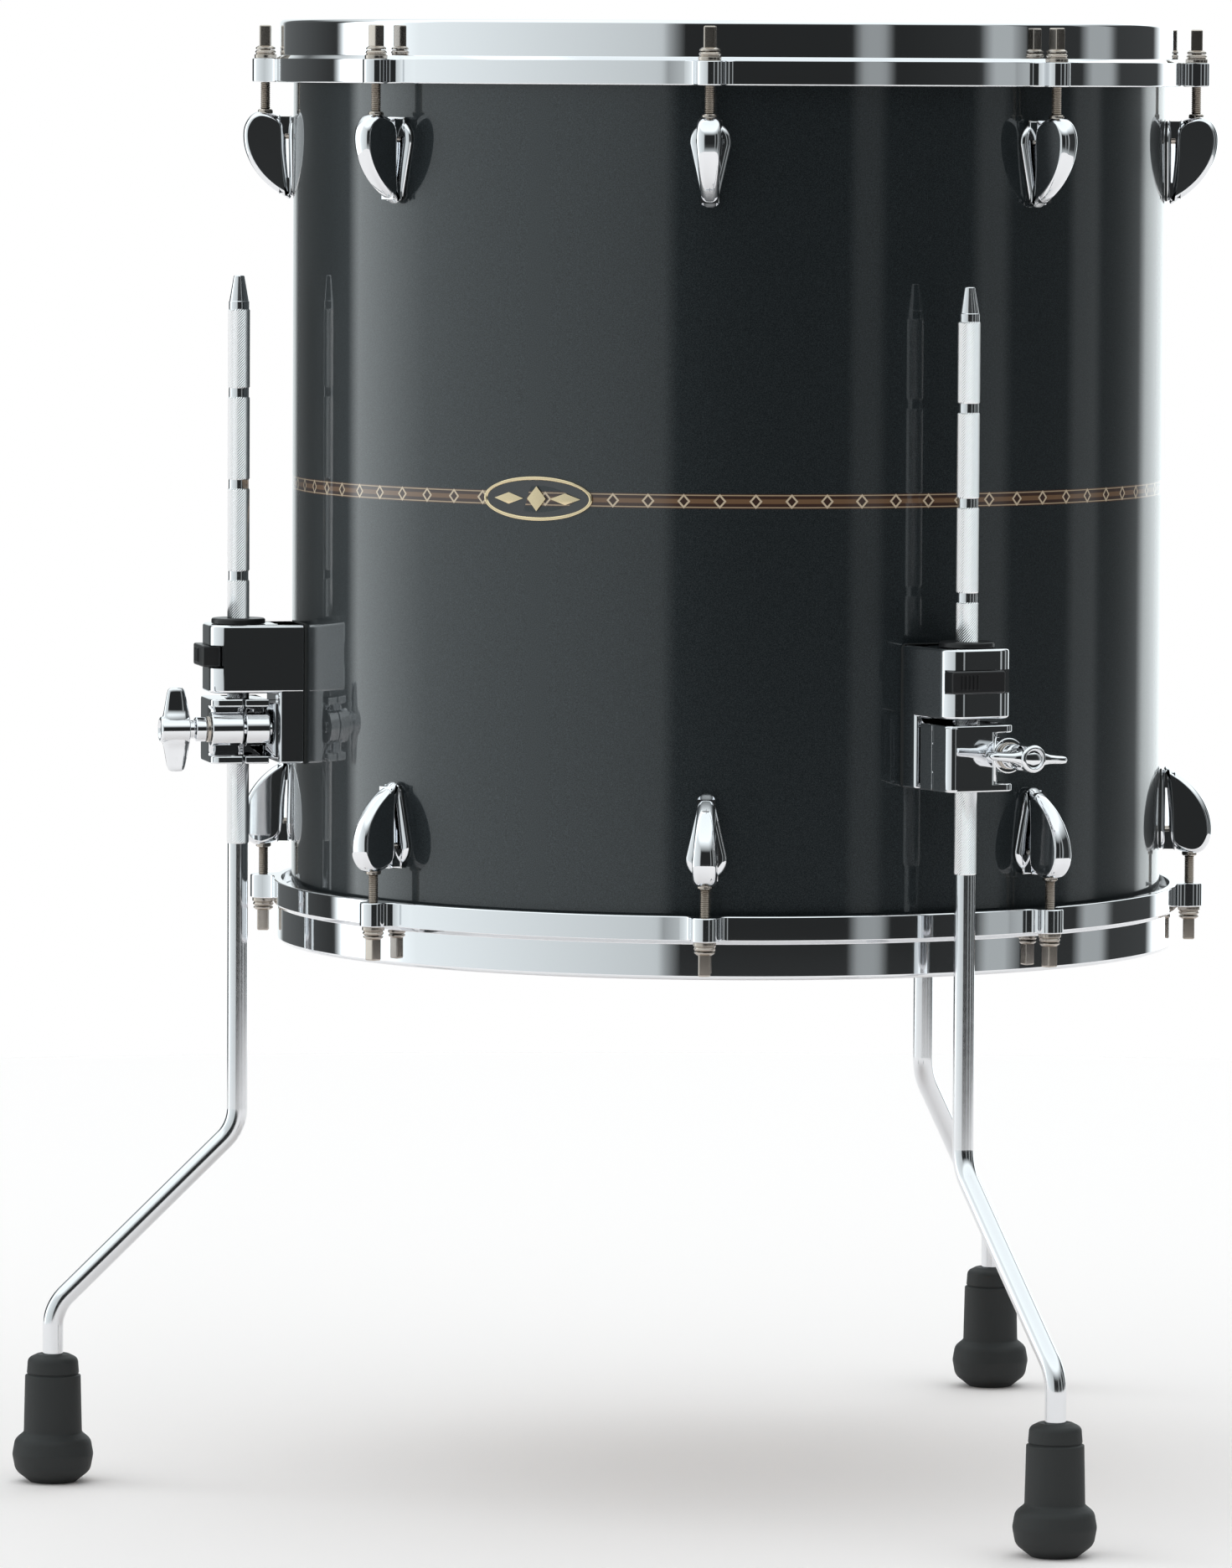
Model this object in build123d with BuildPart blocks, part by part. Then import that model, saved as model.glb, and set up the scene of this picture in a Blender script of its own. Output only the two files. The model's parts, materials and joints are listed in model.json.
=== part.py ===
from build123d import *

import os
from math import cos, radians

# A floor tom: a 16 by 16 inch drum that stands on three bent legs.
# Millimetres, +Z up, the floor at Z = 0. Each piece is modelled about the drum's own axis, in the
# bearing where the outside of the drum faces -Y, then turned to its bearing and moved so that the
# origin lies on the floor in the middle of the footprint.

# Shell
shell_radius = 203.2
shell_depth = 406.4
shell_wall = 6.5
shell_bottom = 259.3
shell_top = shell_bottom + shell_depth
shell_middle = shell_bottom + shell_depth / 2
shell_bore = shell_radius - shell_wall
edge_round = 2.0
edge_bevel = 3.3
ring_wall = 4.2
ring_height = 25.0

# Inlay band, badge and air vent
inlay_height = 6.8
inlay_depth = 0.6
badge_width = 54.0
badge_height = 20.0
badge_thickness = 1.1
vent_bearing = 135.0
vent_height = 420.0
vent_radius = 5.0
grommet_radius = 8.0

# Heads and hoops
rim_height = 11.3
rim_top = shell_top + rim_height
hoop_height = 29.0
rim_radius = 209.5
flange_radius = 211.4
flange_height = 11.0
hoop_bore = 204.6
film = 0.3
film_skirt = 4.5
flesh_bore = shell_radius + film
flesh_radius = 207.6
flesh_height = 8.0
ear_reach = 223.3
ear_radius = 6.2

# Tension rods and lugs
lug_count = 8
lug_step = 360 / lug_count
first_lug = lug_step / 2
rod_circle = ear_reach - ear_radius
rod_radius = 2.3
rod_head = 5.4
rod_head_height = 9.5
rod_head_top = rim_top - 2.5
rod_end = rim_top - 61.0
lug_top = rim_top - 42.5
lug_length = 41.5
lug_bottom = lug_top - lug_length
lug_reach = 24.2
lug_width = 10.8
lug_tip_width = 7.2
lug_base_wall = 2.2
gasket_wall = 0.6
lug_seat = shell_radius + gasket_wall
nut_radius = 3.5
nut_length = 15.0
screw_radius = 2.0
screw_heights = [lug_top - 11.0, lug_bottom + 7.5]

# Legs, with heights above the floor
leg_bearings = {"left": -52.5, "right": 52.5, "back": 180.0}
leg_circle = shell_radius + 28.5
leg_radius = 4.75
knurl_radius = 5.1
knurl_bottom = 296.0
leg_top = 559.0
leg_tip_height = 12.0
leg_neck_height = 3.5
upper_bend = 164.0
lower_bend = 81.0
bend_radius = 20.0
groove_height = 4.0
groove_pitch = 42.35
groove_heights = [505.0 - groove_pitch * step for step in range(5)]
foot_circle = 318.0
foot_radius = 18.8
foot_height = 59.6
foot_socket = 9.0

# Leg brackets, with heights above the floor and reaches from the leg's own axis
bracket_width = 34.0
bracket_top = 398.0
bracket_bottom = 334.0
block_bottom = 366.5
clamp_top = 363.8
nose_reach = 15.3
nose_round = 9.0
spine_reach = 12.3
bracket_pad_wall = 1.0
bracket_seat = shell_radius + bracket_pad_wall
bracket_screw_heights = [346.0, 385.0]
running = 0.05
bush_radius = 8.0
bush_flange_radius = 12.5
bush_flange_height = 2.5
bush_bottom = 367.5

# Lower clamp: the fixed half is part of the bracket, and the jaw swings on a pin
clamp_gap = 1.1
clamp_plate = 3.5
clamp_back = 11.7
clamp_core_right = 9.0
pin_offset = -12.5
pin_radius = 2.0
knuckle_radius = 4.5
knuckle_height = 8.3
knuckle_gap = 0.4
bolt_offset = 13.5
bolt_height = 350.0
bolt_radius = 3.0
bolt_depth = 13.2
boss_radius = 8.0
washer_radius = 6.0
washer_wall = 1.6
collar_radius = 5.7
collar_end = 22.2
wing_start = 24.2
wing_end = 39.0
wing_span = 39.0
wing_hub_radius = 6.2
wing_rest = {"left": 90.0, "right": -4.0, "back": 35.0}

# Lock slider in the nose of the upper block
slider_height = 10.1
slider_middle = 383.3
slider_left = -17.0
slider_right = 10.0
slider_reach = nose_reach + 3.4
slot_floor = 9.6
slot_gap = 0.3
rail_height = 13.0
rail_wall = 2.0

# The footprint runs from the back foot to the front feet, and its middle is the origin.
back_edge = foot_circle + foot_radius
front_edge = foot_circle * cos(radians(leg_bearings["right"])) + foot_radius
drum_y = (front_edge - back_edge) / 2

middle_plane = Plane.XY.offset(shell_middle)

os.makedirs("parts", exist_ok=True)


def save(builder, name, bearing=0.0):
    """Turn a piece to its bearing, centre it over the feet, label it and write it."""
    piece = builder.part.rotate(Axis.Z, bearing).moved(Location((0, drum_y, 0)))
    piece.label = name
    export_step(piece, f"parts/{name}.step")


def outward(reach, height=0.0, offset=0.0):
    """A plane that faces out of the drum at -Y, with its X to the right and its Y up."""
    return Plane(origin=(offset, -reach, height), x_dir=(1, 0, 0), z_dir=(0, -1, 0))


def curved_plate(outline, bore, wall):
    """A plate that follows the shell: an outline pushed outward, kept between two radii."""
    with BuildPart() as plate:
        extrude(outline, amount=20)
        with BuildSketch():
            Circle(bore + wall)
            Circle(bore, mode=Mode.SUBTRACT)
        extrude(amount=rim_top, mode=Mode.INTERSECT)
    return plate


def mirrored(builder):
    """The same piece for the lower head."""
    with BuildPart() as lower:
        mirror(builder.part, about=middle_plane)
    return lower


def ring_of(builder):
    """One copy of a piece at each lug of the upper head."""
    with BuildPart() as ring:
        with PolarLocations(0, lug_count, start_angle=first_lug):
            add(builder.part)
    return ring


def both_ends(builder):
    """Copies of a ring of pieces at the upper and the lower head, in one piece group."""
    with BuildPart() as both:
        add(builder.part)
        mirror(builder.part, about=middle_plane)
    return both


# ------------------------------------------------------------------ screws that hold the lugs
with BuildPart() as lug_screw:
    for height in screw_heights:
        with Locations(outward(shell_bore - 3.0, height)):
            Cylinder(4.0, 3.0, align=(Align.CENTER, Align.CENTER, Align.MIN))
            Cylinder(screw_radius, 14.0, align=(Align.CENTER, Align.CENTER, Align.MIN))
lug_screws = both_ends(ring_of(lug_screw))
save(lug_screws, "lug_screws")

# ------------------------------------------------------------------ screws that hold the brackets
with BuildPart() as bracket_screw:
    for height in bracket_screw_heights:
        with Locations(outward(shell_bore - 4.0, height)):
            Cylinder(5.5, 4.0, align=(Align.CENTER, Align.CENTER, Align.MIN))
            Cylinder(2.9, 19.0, align=(Align.CENTER, Align.CENTER, Align.MIN))
with BuildPart() as bracket_screws:
    for bearing in leg_bearings.values():
        with Locations(Location((0, 0, 0), (0, 0, bearing))):
            add(bracket_screw.part)
save(bracket_screws, "bracket_screws")

# ------------------------------------------------------------------ shell
with BuildPart() as shell:
    with BuildSketch(Plane.XZ):
        with Locations((shell_radius - shell_wall / 2, shell_middle)):
            Rectangle(shell_wall, shell_depth)
        chamfer(vertices().group_by(Axis.X)[0], edge_bevel)
        fillet(vertices().group_by(Axis.X)[-1], edge_round)
        with Locations((shell_radius - inlay_depth / 2, shell_middle)):
            Rectangle(inlay_depth, inlay_height, mode=Mode.SUBTRACT)
    revolve(axis=Axis.Z)
    add(lug_screws.part, mode=Mode.SUBTRACT)
    add(bracket_screws.part, mode=Mode.SUBTRACT)
    with Locations(Location((0, 0, vent_height), (0, 0, vent_bearing))):
        with Locations(outward(shell_bore - 5)):
            Cylinder(vent_radius + 1.2, 20, align=(Align.CENTER, Align.CENTER, Align.MIN),
                     mode=Mode.SUBTRACT)
save(shell, "shell")

with BuildPart() as reinforcement_ring:
    with BuildSketch(Plane.XZ):
        with Locations((shell_bore - ring_wall / 2, shell_top - 5 - ring_height / 2)):
            Rectangle(ring_wall, ring_height)
        chamfer(vertices().group_by(Axis.X)[0], 2.5)
    revolve(axis=Axis.Z)
save(both_ends(reinforcement_ring), "reinforcement_rings")

with BuildPart() as inlay_band:
    with BuildSketch(middle_plane.offset(-inlay_height / 2)):
        Circle(shell_radius)
        Circle(shell_radius - inlay_depth, mode=Mode.SUBTRACT)
    extrude(amount=inlay_height)
save(inlay_band, "inlay_band")

with BuildSketch(outward(shell_radius - 6, shell_middle)) as badge_outline:
    Ellipse(badge_width / 2, badge_height / 2)
save(curved_plate(badge_outline.sketch, shell_radius, badge_thickness), "badge")

with BuildPart() as vent_grommet:
    with BuildSketch(Plane.XZ):
        with BuildLine():
            Polyline(
                (vent_radius, shell_bore - 2.0),
                (grommet_radius, shell_bore - 2.0),
                (grommet_radius, shell_bore - 0.8),
                (vent_radius + 1.2, shell_bore - 0.8),
                (vent_radius + 1.2, shell_radius + 0.2),
                (grommet_radius, shell_radius + 0.2),
                (grommet_radius - 0.8, shell_radius + 1.6),
                (vent_radius, shell_radius + 1.6),
                close=True,
            )
        make_face()
    revolve(axis=Axis.Z)
with BuildPart() as placed_grommet:
    with Locations(outward(0, vent_height)):
        add(vent_grommet.part)
save(placed_grommet, "vent_grommet", vent_bearing)

# ------------------------------------------------------------------ heads
with BuildPart() as head_inside:
    Cylinder(flesh_bore, film_skirt, align=(Align.CENTER, Align.CENTER, Align.MIN))
    fillet(edges().filter_by(GeomType.CIRCLE).sort_by(Axis.Z)[-1], edge_round)
with BuildPart() as head:
    with Locations((0, 0, shell_top - film_skirt)):
        Cylinder(flesh_bore + film, film_skirt + film, align=(Align.CENTER, Align.CENTER, Align.MIN))
        fillet(edges().filter_by(GeomType.CIRCLE).sort_by(Axis.Z)[-1], edge_round + film)
        add(head_inside.part, mode=Mode.SUBTRACT)
save(head, "batter_head")
with BuildPart() as lower_head:
    with Locations(Location((0, 0, 2 * shell_middle), (180, 0, 0))):
        add(head.part)
save(lower_head, "resonant_head")

with BuildPart() as flesh_hoop:
    with BuildSketch(Plane.XZ):
        with Locations(((flesh_bore + flesh_radius) / 2, shell_top - film_skirt - flesh_height / 2)):
            Rectangle(flesh_radius - flesh_bore, flesh_height)
        fillet(vertices().group_by(Axis.Y)[0], 1.0)
    revolve(axis=Axis.Z)
save(flesh_hoop, "batter_flesh_hoop")
save(mirrored(flesh_hoop), "resonant_flesh_hoop")

# ------------------------------------------------------------------ hoops
with BuildPart() as hoop:
    with BuildSketch(Plane.XZ) as hoop_profile:
        with BuildLine():
            Polyline(
                (hoop_bore, rim_top),
                (rim_radius, rim_top),
                (rim_radius, rim_top - 16.4),
                (flange_radius, rim_top - 18.0),
                (flange_radius, rim_top - hoop_height),
                (flesh_radius + 0.4, rim_top - hoop_height),
                (flesh_radius + 0.4, shell_top - film_skirt),
                (hoop_bore, shell_top - film_skirt),
                close=True,
            )
        make_face()
        fillet(vertices().group_by(Axis.Y)[-1], 2.2)
        fillet(vertices().group_by(Axis.Y)[0], 0.8)
    revolve(axis=Axis.Z)
    with BuildSketch(Plane.XY.offset(rim_top - hoop_height)):
        with PolarLocations(0, lug_count, start_angle=first_lug):
            with Locations((0, -rod_circle)):
                Circle(ear_radius)
            Polygon(
                (-16.0, -flange_radius + 2.2),
                (-ear_radius, -flange_radius - 2.2),
                (-ear_radius, -rod_circle),
                (ear_radius, -rod_circle),
                (ear_radius, -flange_radius - 2.2),
                (16.0, -flange_radius + 2.2),
                align=None,
            )
    extrude(amount=flange_height)
    with PolarLocations(0, lug_count, start_angle=first_lug):
        with Locations((0, -rod_circle, rim_top - hoop_height)):
            Cylinder(rod_radius + 0.5, 3 * flange_height, mode=Mode.SUBTRACT)
save(hoop, "batter_hoop")
save(mirrored(hoop), "resonant_hoop")

# ------------------------------------------------------------------ tension rods and washers
collar_seat = rim_top - hoop_height + flange_height + 4.3

with BuildPart() as tension_rod:
    with Locations((0, -rod_circle, rod_end)):
        Cylinder(rod_radius, collar_seat - rod_end, align=(Align.CENTER, Align.CENTER, Align.MIN))
        chamfer(edges().group_by(Axis.Z)[0], 0.6)
    with Locations((0, -rod_circle, collar_seat)):
        Cone(4.7, 3.4, 1.6, align=(Align.CENTER, Align.CENTER, Align.MIN))
    with BuildSketch(Plane.XY.offset(collar_seat)) as head_outline:
        with Locations((0, -rod_circle)):
            Rectangle(rod_head, rod_head)
        fillet(vertices(), 0.6)
    extrude(amount=rod_head_top - collar_seat)
    chamfer(faces().sort_by(Axis.Z)[-1].edges(), 0.6)

with BuildPart() as lower_rod:
    mirror(tension_rod.part, about=middle_plane)

for index in range(lug_count):
    bearing = first_lug + index * lug_step
    save(tension_rod, f"batter_tension_rod_{index + 1}", bearing)
    save(lower_rod, f"resonant_tension_rod_{index + 1}", bearing)

with BuildPart() as rod_washer:
    with BuildSketch(Plane.XZ):
        with BuildLine():
            Polyline(
                (rod_radius + 0.5, collar_seat - 4.3),
                (5.2, collar_seat - 4.3),
                (5.2, collar_seat - 2.6),
                (4.4, collar_seat - 2.0),
                (5.0, collar_seat - 1.2),
                (4.2, collar_seat - 0.3),
                (rod_radius + 0.5, collar_seat - 0.3),
                close=True,
            )
        make_face()
    revolve(axis=Axis.Z)
with BuildPart() as placed_washer:
    with Locations((0, -rod_circle, 0)):
        add(rod_washer.part)
save(both_ends(ring_of(placed_washer)), "tension_rod_washers")

# ------------------------------------------------------------------ lugs
with BuildSketch(outward(shell_radius - 3)) as lug_footprint:
    with Locations((0, lug_top - 11.6)):
        Circle(9.1)
    with Locations((0, lug_bottom + 5.6)):
        Circle(3.8)
    make_hull()

lug_base = curved_plate(lug_footprint.sketch, lug_seat, lug_base_wall)
lug_gasket = curved_plate(lug_footprint.sketch, shell_radius, gasket_wall)

# The body is half a heart seen from the side, and narrows towards its tip seen from the front.
with BuildPart() as lug:
    with BuildSketch(Plane.YZ):
        with BuildLine():
            heel = (-(lug_seat + 4.2), lug_top - 1.6)
            crown = (-(shell_radius + 16.5), lug_top)
            bulge = (-(shell_radius + lug_reach), lug_top - 11.0)
            tip = (-(lug_seat + 1.4), lug_bottom)
            back = -(lug_seat + 0.8)
            Line(heel, crown)
            belly = ThreePointArc(bulge, (-(shell_radius + 17.6), lug_bottom + 11.3), tip)
            TangentArc(bulge, crown, tangent=-(belly % 0))
            Polyline(tip, (back, lug_bottom), (back, lug_top - 7.0), heel)
        make_face()
    extrude(amount=lug_width / 2, both=True)
    fillet(edges().filter_by(GeomType.CIRCLE), 1.0)
    with BuildSketch(outward(shell_radius)):
        with BuildLine():
            Polyline(
                (-lug_width / 2, lug_top),
                (lug_width / 2, lug_top),
                (lug_width / 2, lug_top - 12),
                (lug_tip_width / 2, lug_bottom),
                (-lug_tip_width / 2, lug_bottom),
                (-lug_width / 2, lug_top - 12),
                close=True,
            )
        make_face()
    extrude(amount=lug_reach + 2, mode=Mode.INTERSECT)
    with BuildSketch(Plane.YZ):
        with BuildLine():
            Polyline(
                (-(lug_seat + 5.4), lug_top - 9.0),
                (-(lug_seat + 1.0), lug_top - 10.0),
                (-(lug_seat + 1.0), lug_top - 33.0),
                (-(lug_seat + 3.2), lug_top - 33.0),
                close=True,
            )
        make_face()
    extrude(amount=lug_width, both=True, mode=Mode.SUBTRACT)
    add(lug_base.part)
    with Locations((0, -rod_circle, lug_top + 1)):
        Cylinder(nut_radius, nut_length + 1, align=(Align.CENTER, Align.CENTER, Align.MAX),
                 mode=Mode.SUBTRACT)
        Cylinder(rod_radius + 0.4, lug_top + 2 - rod_end, align=(Align.CENTER, Align.CENTER, Align.MAX),
                 mode=Mode.SUBTRACT)
    add(lug_screw.part, mode=Mode.SUBTRACT)
batter_lugs = ring_of(lug)
save(batter_lugs, "batter_lugs")
save(mirrored(batter_lugs), "resonant_lugs")

with BuildPart() as cut_gasket:
    add(lug_gasket.part)
    add(lug_screw.part, mode=Mode.SUBTRACT)
save(both_ends(ring_of(cut_gasket)), "lug_gaskets")

with BuildPart() as swivel_nut:
    with Locations((0, -rod_circle, lug_top + 0.8)):
        Cylinder(nut_radius, nut_length, align=(Align.CENTER, Align.CENTER, Align.MAX))
        chamfer(edges().filter_by(GeomType.CIRCLE).group_by(Axis.Z)[-1], 0.5)
        Cylinder(rod_radius + running, 3 * nut_length, mode=Mode.SUBTRACT)
save(both_ends(ring_of(swivel_nut)), "swivel_nuts")

# ------------------------------------------------------------------ leg brackets
half_width = bracket_width / 2
clamp_height = clamp_top - bracket_bottom
block_height = bracket_top - block_bottom
split = leg_circle - clamp_gap / 2
jaw_face = leg_circle + clamp_gap / 2
nose = leg_circle + nose_reach
upper_knuckle = clamp_top - knuckle_height
pin_place = (pin_offset, -leg_circle)


def clamp_half(low, high, corner):
    """One half of the lower clamp between two reaches: two plates, a core and the bolt's boss."""
    with BuildPart() as half:
        with BuildSketch(Plane.XY.offset(bracket_bottom)) as plates:
            with Locations((0, -(low + high) / 2)):
                Rectangle(bracket_width, high - low)
            if corner:
                fillet(vertices().group_by(Axis.Y)[0], corner)
        extrude(amount=clamp_plate)
        extrude(plates.sketch.moved(Location((0, 0, clamp_height - clamp_plate))), amount=clamp_plate)
        with BuildSketch(Plane.XY.offset(bracket_bottom)):
            add(plates.sketch)
            with Locations((half_width, -(low + high) / 2)):
                Rectangle(2 * (half_width - clamp_core_right), high - low, mode=Mode.SUBTRACT)
        extrude(amount=clamp_height)
        with Locations(outward(low, bolt_height, bolt_offset)):
            Cylinder(boss_radius, high - low, align=(Align.CENTER, Align.CENTER, Align.MIN))
    return half


fixed_half = clamp_half(leg_circle - clamp_back, split, 0)
outer_half = clamp_half(jaw_face, nose, 5.0)

with BuildPart() as bracket:
    # Spine against the shell
    with BuildSketch(Plane.XY.offset(bracket_bottom)):
        with Locations((0, -(shell_radius + spine_reach / 2) + 2.0)):
            Rectangle(bracket_width, spine_reach + 4.0)
        fillet(vertices().group_by(Axis.Y)[0], 2.0)
    extrude(amount=bracket_top - bracket_bottom)
    # Upper block round the bush
    with BuildSketch(Plane.XY.offset(block_bottom)):
        with Locations((0, -(shell_radius + nose) / 2 + 2.0)):
            Rectangle(bracket_width, nose - shell_radius + 4.0)
        fillet(vertices().group_by(Axis.Y)[0], nose_round)
    extrude(amount=block_height)
    fillet(faces().sort_by(Axis.Z)[-1].edges(), 1.6)
    # Neck that carries the fixed half of the clamp
    with BuildSketch(Plane.XY.offset(bracket_bottom + 2)):
        with Locations((0, -(leg_circle - clamp_back) + 3.0)):
            Rectangle(24.0, 8.0)
    extrude(amount=clamp_height - 4)
    add(fixed_half.part)
    # Seat on the shell
    Cylinder(bracket_seat, 3 * rim_top, mode=Mode.SUBTRACT)
    # Bores for the bush, the leg and the bolt
    with Locations((0, -leg_circle, block_bottom)):
        Cylinder(bush_radius + running, 80, align=(Align.CENTER, Align.CENTER, Align.MIN),
                 mode=Mode.SUBTRACT)
        Cylinder(knurl_radius + running, 80, align=(Align.CENTER, Align.CENTER, Align.MAX),
                 mode=Mode.SUBTRACT)
    with Locations(outward(split - bolt_depth - 1.0, bolt_height, bolt_offset)):
        Cylinder(bolt_radius + running, 40, align=(Align.CENTER, Align.CENTER, Align.MIN),
                 mode=Mode.SUBTRACT)
    # Knuckles above and below the jaw's own
    with Locations((*pin_place, bracket_bottom)):
        Cylinder(knuckle_radius, clamp_height, align=(Align.CENTER, Align.CENTER, Align.MIN))
    with Locations((*pin_place, bracket_bottom + knuckle_height)):
        Cylinder(knuckle_radius + knuckle_gap, clamp_height - 2 * knuckle_height,
                 align=(Align.CENTER, Align.CENTER, Align.MIN), mode=Mode.SUBTRACT)
    with Locations((*pin_place, bracket_bottom)):
        Cylinder(pin_radius, clamp_height, align=(Align.CENTER, Align.CENTER, Align.MIN),
                 mode=Mode.SUBTRACT)
    # Slot for the lock slider: a mouth, and a taller pocket behind it that holds the rail
    with Locations((0, -(leg_circle + slot_floor + 20), slider_middle)):
        Box(60, 40, slider_height + 2 * slot_gap, mode=Mode.SUBTRACT)
    with Locations((0, -(leg_circle + slot_floor + rail_wall / 2 + slot_gap), slider_middle)):
        Box(60, rail_wall + 2 * slot_gap, rail_height + 2 * slot_gap, mode=Mode.SUBTRACT)
    add(bracket_screw.part, mode=Mode.SUBTRACT)

with BuildPart() as clamp_jaw:
    add(outer_half.part)
    # Knuckle between those of the bracket
    with Locations((*pin_place, bracket_bottom + knuckle_height + knuckle_gap)):
        Cylinder(knuckle_radius, clamp_height - 2 * (knuckle_height + knuckle_gap),
                 align=(Align.CENTER, Align.CENTER, Align.MIN))
    for height in (bracket_bottom - 1, upper_knuckle - knuckle_gap):
        with Locations((*pin_place, height)):
            Cylinder(knuckle_radius + knuckle_gap, knuckle_height + knuckle_gap + 1,
                     align=(Align.CENTER, Align.CENTER, Align.MIN), mode=Mode.SUBTRACT)
    with Locations((*pin_place, bracket_bottom)):
        Cylinder(pin_radius + running, clamp_height, align=(Align.CENTER, Align.CENTER, Align.MIN),
                 mode=Mode.SUBTRACT)
    with Locations((0, -leg_circle, bracket_bottom)):
        Cylinder(knurl_radius + running, 3 * clamp_height, mode=Mode.SUBTRACT)
    # Slotted hole, so that the jaw can swing round the straight bolt
    with BuildSketch(outward(split - 1, bolt_height, bolt_offset + 1.3)):
        SlotCenterToCenter(2.6, 2 * bolt_radius + 0.8)
    extrude(amount=30, mode=Mode.SUBTRACT)

with BuildPart() as jaw_pin:
    with Locations((*pin_place, bracket_bottom + 0.2)):
        Cylinder(pin_radius, clamp_height - 0.4, align=(Align.CENTER, Align.CENTER, Align.MIN))

with BuildPart() as jaw_pins:
    for bearing in leg_bearings.values():
        with Locations(Location((0, 0, 0), (0, 0, bearing))):
            add(jaw_pin.part)
save(jaw_pins, "jaw_pins")

with BuildSketch(outward(shell_radius - 3, (bracket_top + bracket_bottom) / 2)) as pad_outline:
    RectangleRounded(bracket_width + 1.0, bracket_top - bracket_bottom + 1.0, 2.5)
bracket_pad = curved_plate(pad_outline.sketch, shell_radius, bracket_pad_wall)
with BuildPart() as bracket_pads:
    for bearing in leg_bearings.values():
        with Locations(Location((0, 0, 0), (0, 0, bearing))):
            add(bracket_pad.part)
    add(bracket_screws.part, mode=Mode.SUBTRACT)
save(bracket_pads, "bracket_gaskets")

with BuildPart() as leg_bush:
    with Locations((0, -leg_circle, bush_bottom)):
        Cylinder(bush_radius, bracket_top + 0.2 - bush_bottom,
                 align=(Align.CENTER, Align.CENTER, Align.MIN))
    with Locations((0, -leg_circle, bracket_top + 0.2)):
        Cylinder(bush_flange_radius, bush_flange_height, align=(Align.CENTER, Align.CENTER, Align.MIN))
        fillet(edges().group_by(Axis.Z)[-1], 0.8)
    with Locations((0, -leg_circle, bracket_top)):
        Cylinder(knurl_radius + running, 100, mode=Mode.SUBTRACT)

with BuildPart() as lock_slider:
    slider_width = slider_right - slider_left
    slider_centre = (slider_right + slider_left) / 2
    front_wall = slider_reach - slot_floor - slot_gap
    with Locations((slider_centre, -(leg_circle + slider_reach - front_wall / 2), slider_middle)):
        Box(slider_width, front_wall, slider_height)
    fillet(faces().sort_by(Axis.Y)[0].edges(), 1.2)
    with Locations((slider_centre, -(leg_circle + slot_floor + slot_gap + rail_wall / 2), slider_middle)):
        Box(slider_width - 6.0, rail_wall, rail_height)

with BuildPart() as clamp_washer:
    with Locations(outward(nose + 0.3, bolt_height, bolt_offset)):
        Cylinder(washer_radius, washer_wall, align=(Align.CENTER, Align.CENTER, Align.MIN))
        Cylinder(bolt_radius + running, 20, mode=Mode.SUBTRACT)

# The wing is the common part of what its front view and its side view say.
half_span = wing_span / 2
with BuildPart() as wing:
    with BuildSketch(outward(leg_circle + wing_start)):
        Circle(wing_hub_radius)
        with BuildLine():
            Polyline(
                (4.6, 4.4),
                (9.5, 2.5),
                (half_span, 1.9),
                (half_span, -1.9),
                (9.5, -2.5),
                (4.6, -4.4),
                (-4.6, -4.4),
                (-9.5, -2.5),
                (-half_span, -1.9),
                (-half_span, 1.9),
                (-9.5, 2.5),
                (-4.6, 4.4),
                close=True,
            )
        make_face()
        fillet(vertices().group_by(Axis.X)[0] + vertices().group_by(Axis.X)[-1], 1.8)
    extrude(amount=wing_end - wing_start)
    with BuildSketch(Plane.XY):
        with BuildLine():
            Polyline(
                (-half_span, -(leg_circle + wing_start + 3.2)),
                (-6.5, -(leg_circle + wing_start)),
                (6.5, -(leg_circle + wing_start)),
                (half_span, -(leg_circle + wing_start + 3.2)),
                (half_span, -(leg_circle + wing_end - 3.6)),
                (6.5, -(leg_circle + wing_end)),
                (-6.5, -(leg_circle + wing_end)),
                (-half_span, -(leg_circle + wing_end - 3.6)),
                close=True,
            )
        make_face()
        fillet(vertices().group_by(Axis.X)[0] + vertices().group_by(Axis.X)[-1], 3.0)
    extrude(amount=20, both=True, mode=Mode.INTERSECT)

with BuildPart() as wing_bolt:
    add(wing.part)
    with Locations(outward(split - bolt_depth)):
        Cylinder(bolt_radius, nose + 8 - split + bolt_depth, align=(Align.CENTER, Align.CENTER, Align.MIN))
    with Locations(outward(nose + 0.3 + washer_wall + 0.2)):
        Cylinder(collar_radius, collar_end - nose_reach - 0.5 - washer_wall,
                 align=(Align.CENTER, Align.CENTER, Align.MIN))
    with Locations(outward(leg_circle + collar_end)):
        Cylinder(4.3, 6.0, align=(Align.CENTER, Align.CENTER, Align.MIN))
    with Locations(outward(leg_circle + wing_end - 1.0)):
        Cylinder(4.5, 5.0, align=(Align.CENTER, Align.CENTER, Align.MIN), mode=Mode.SUBTRACT)

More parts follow.
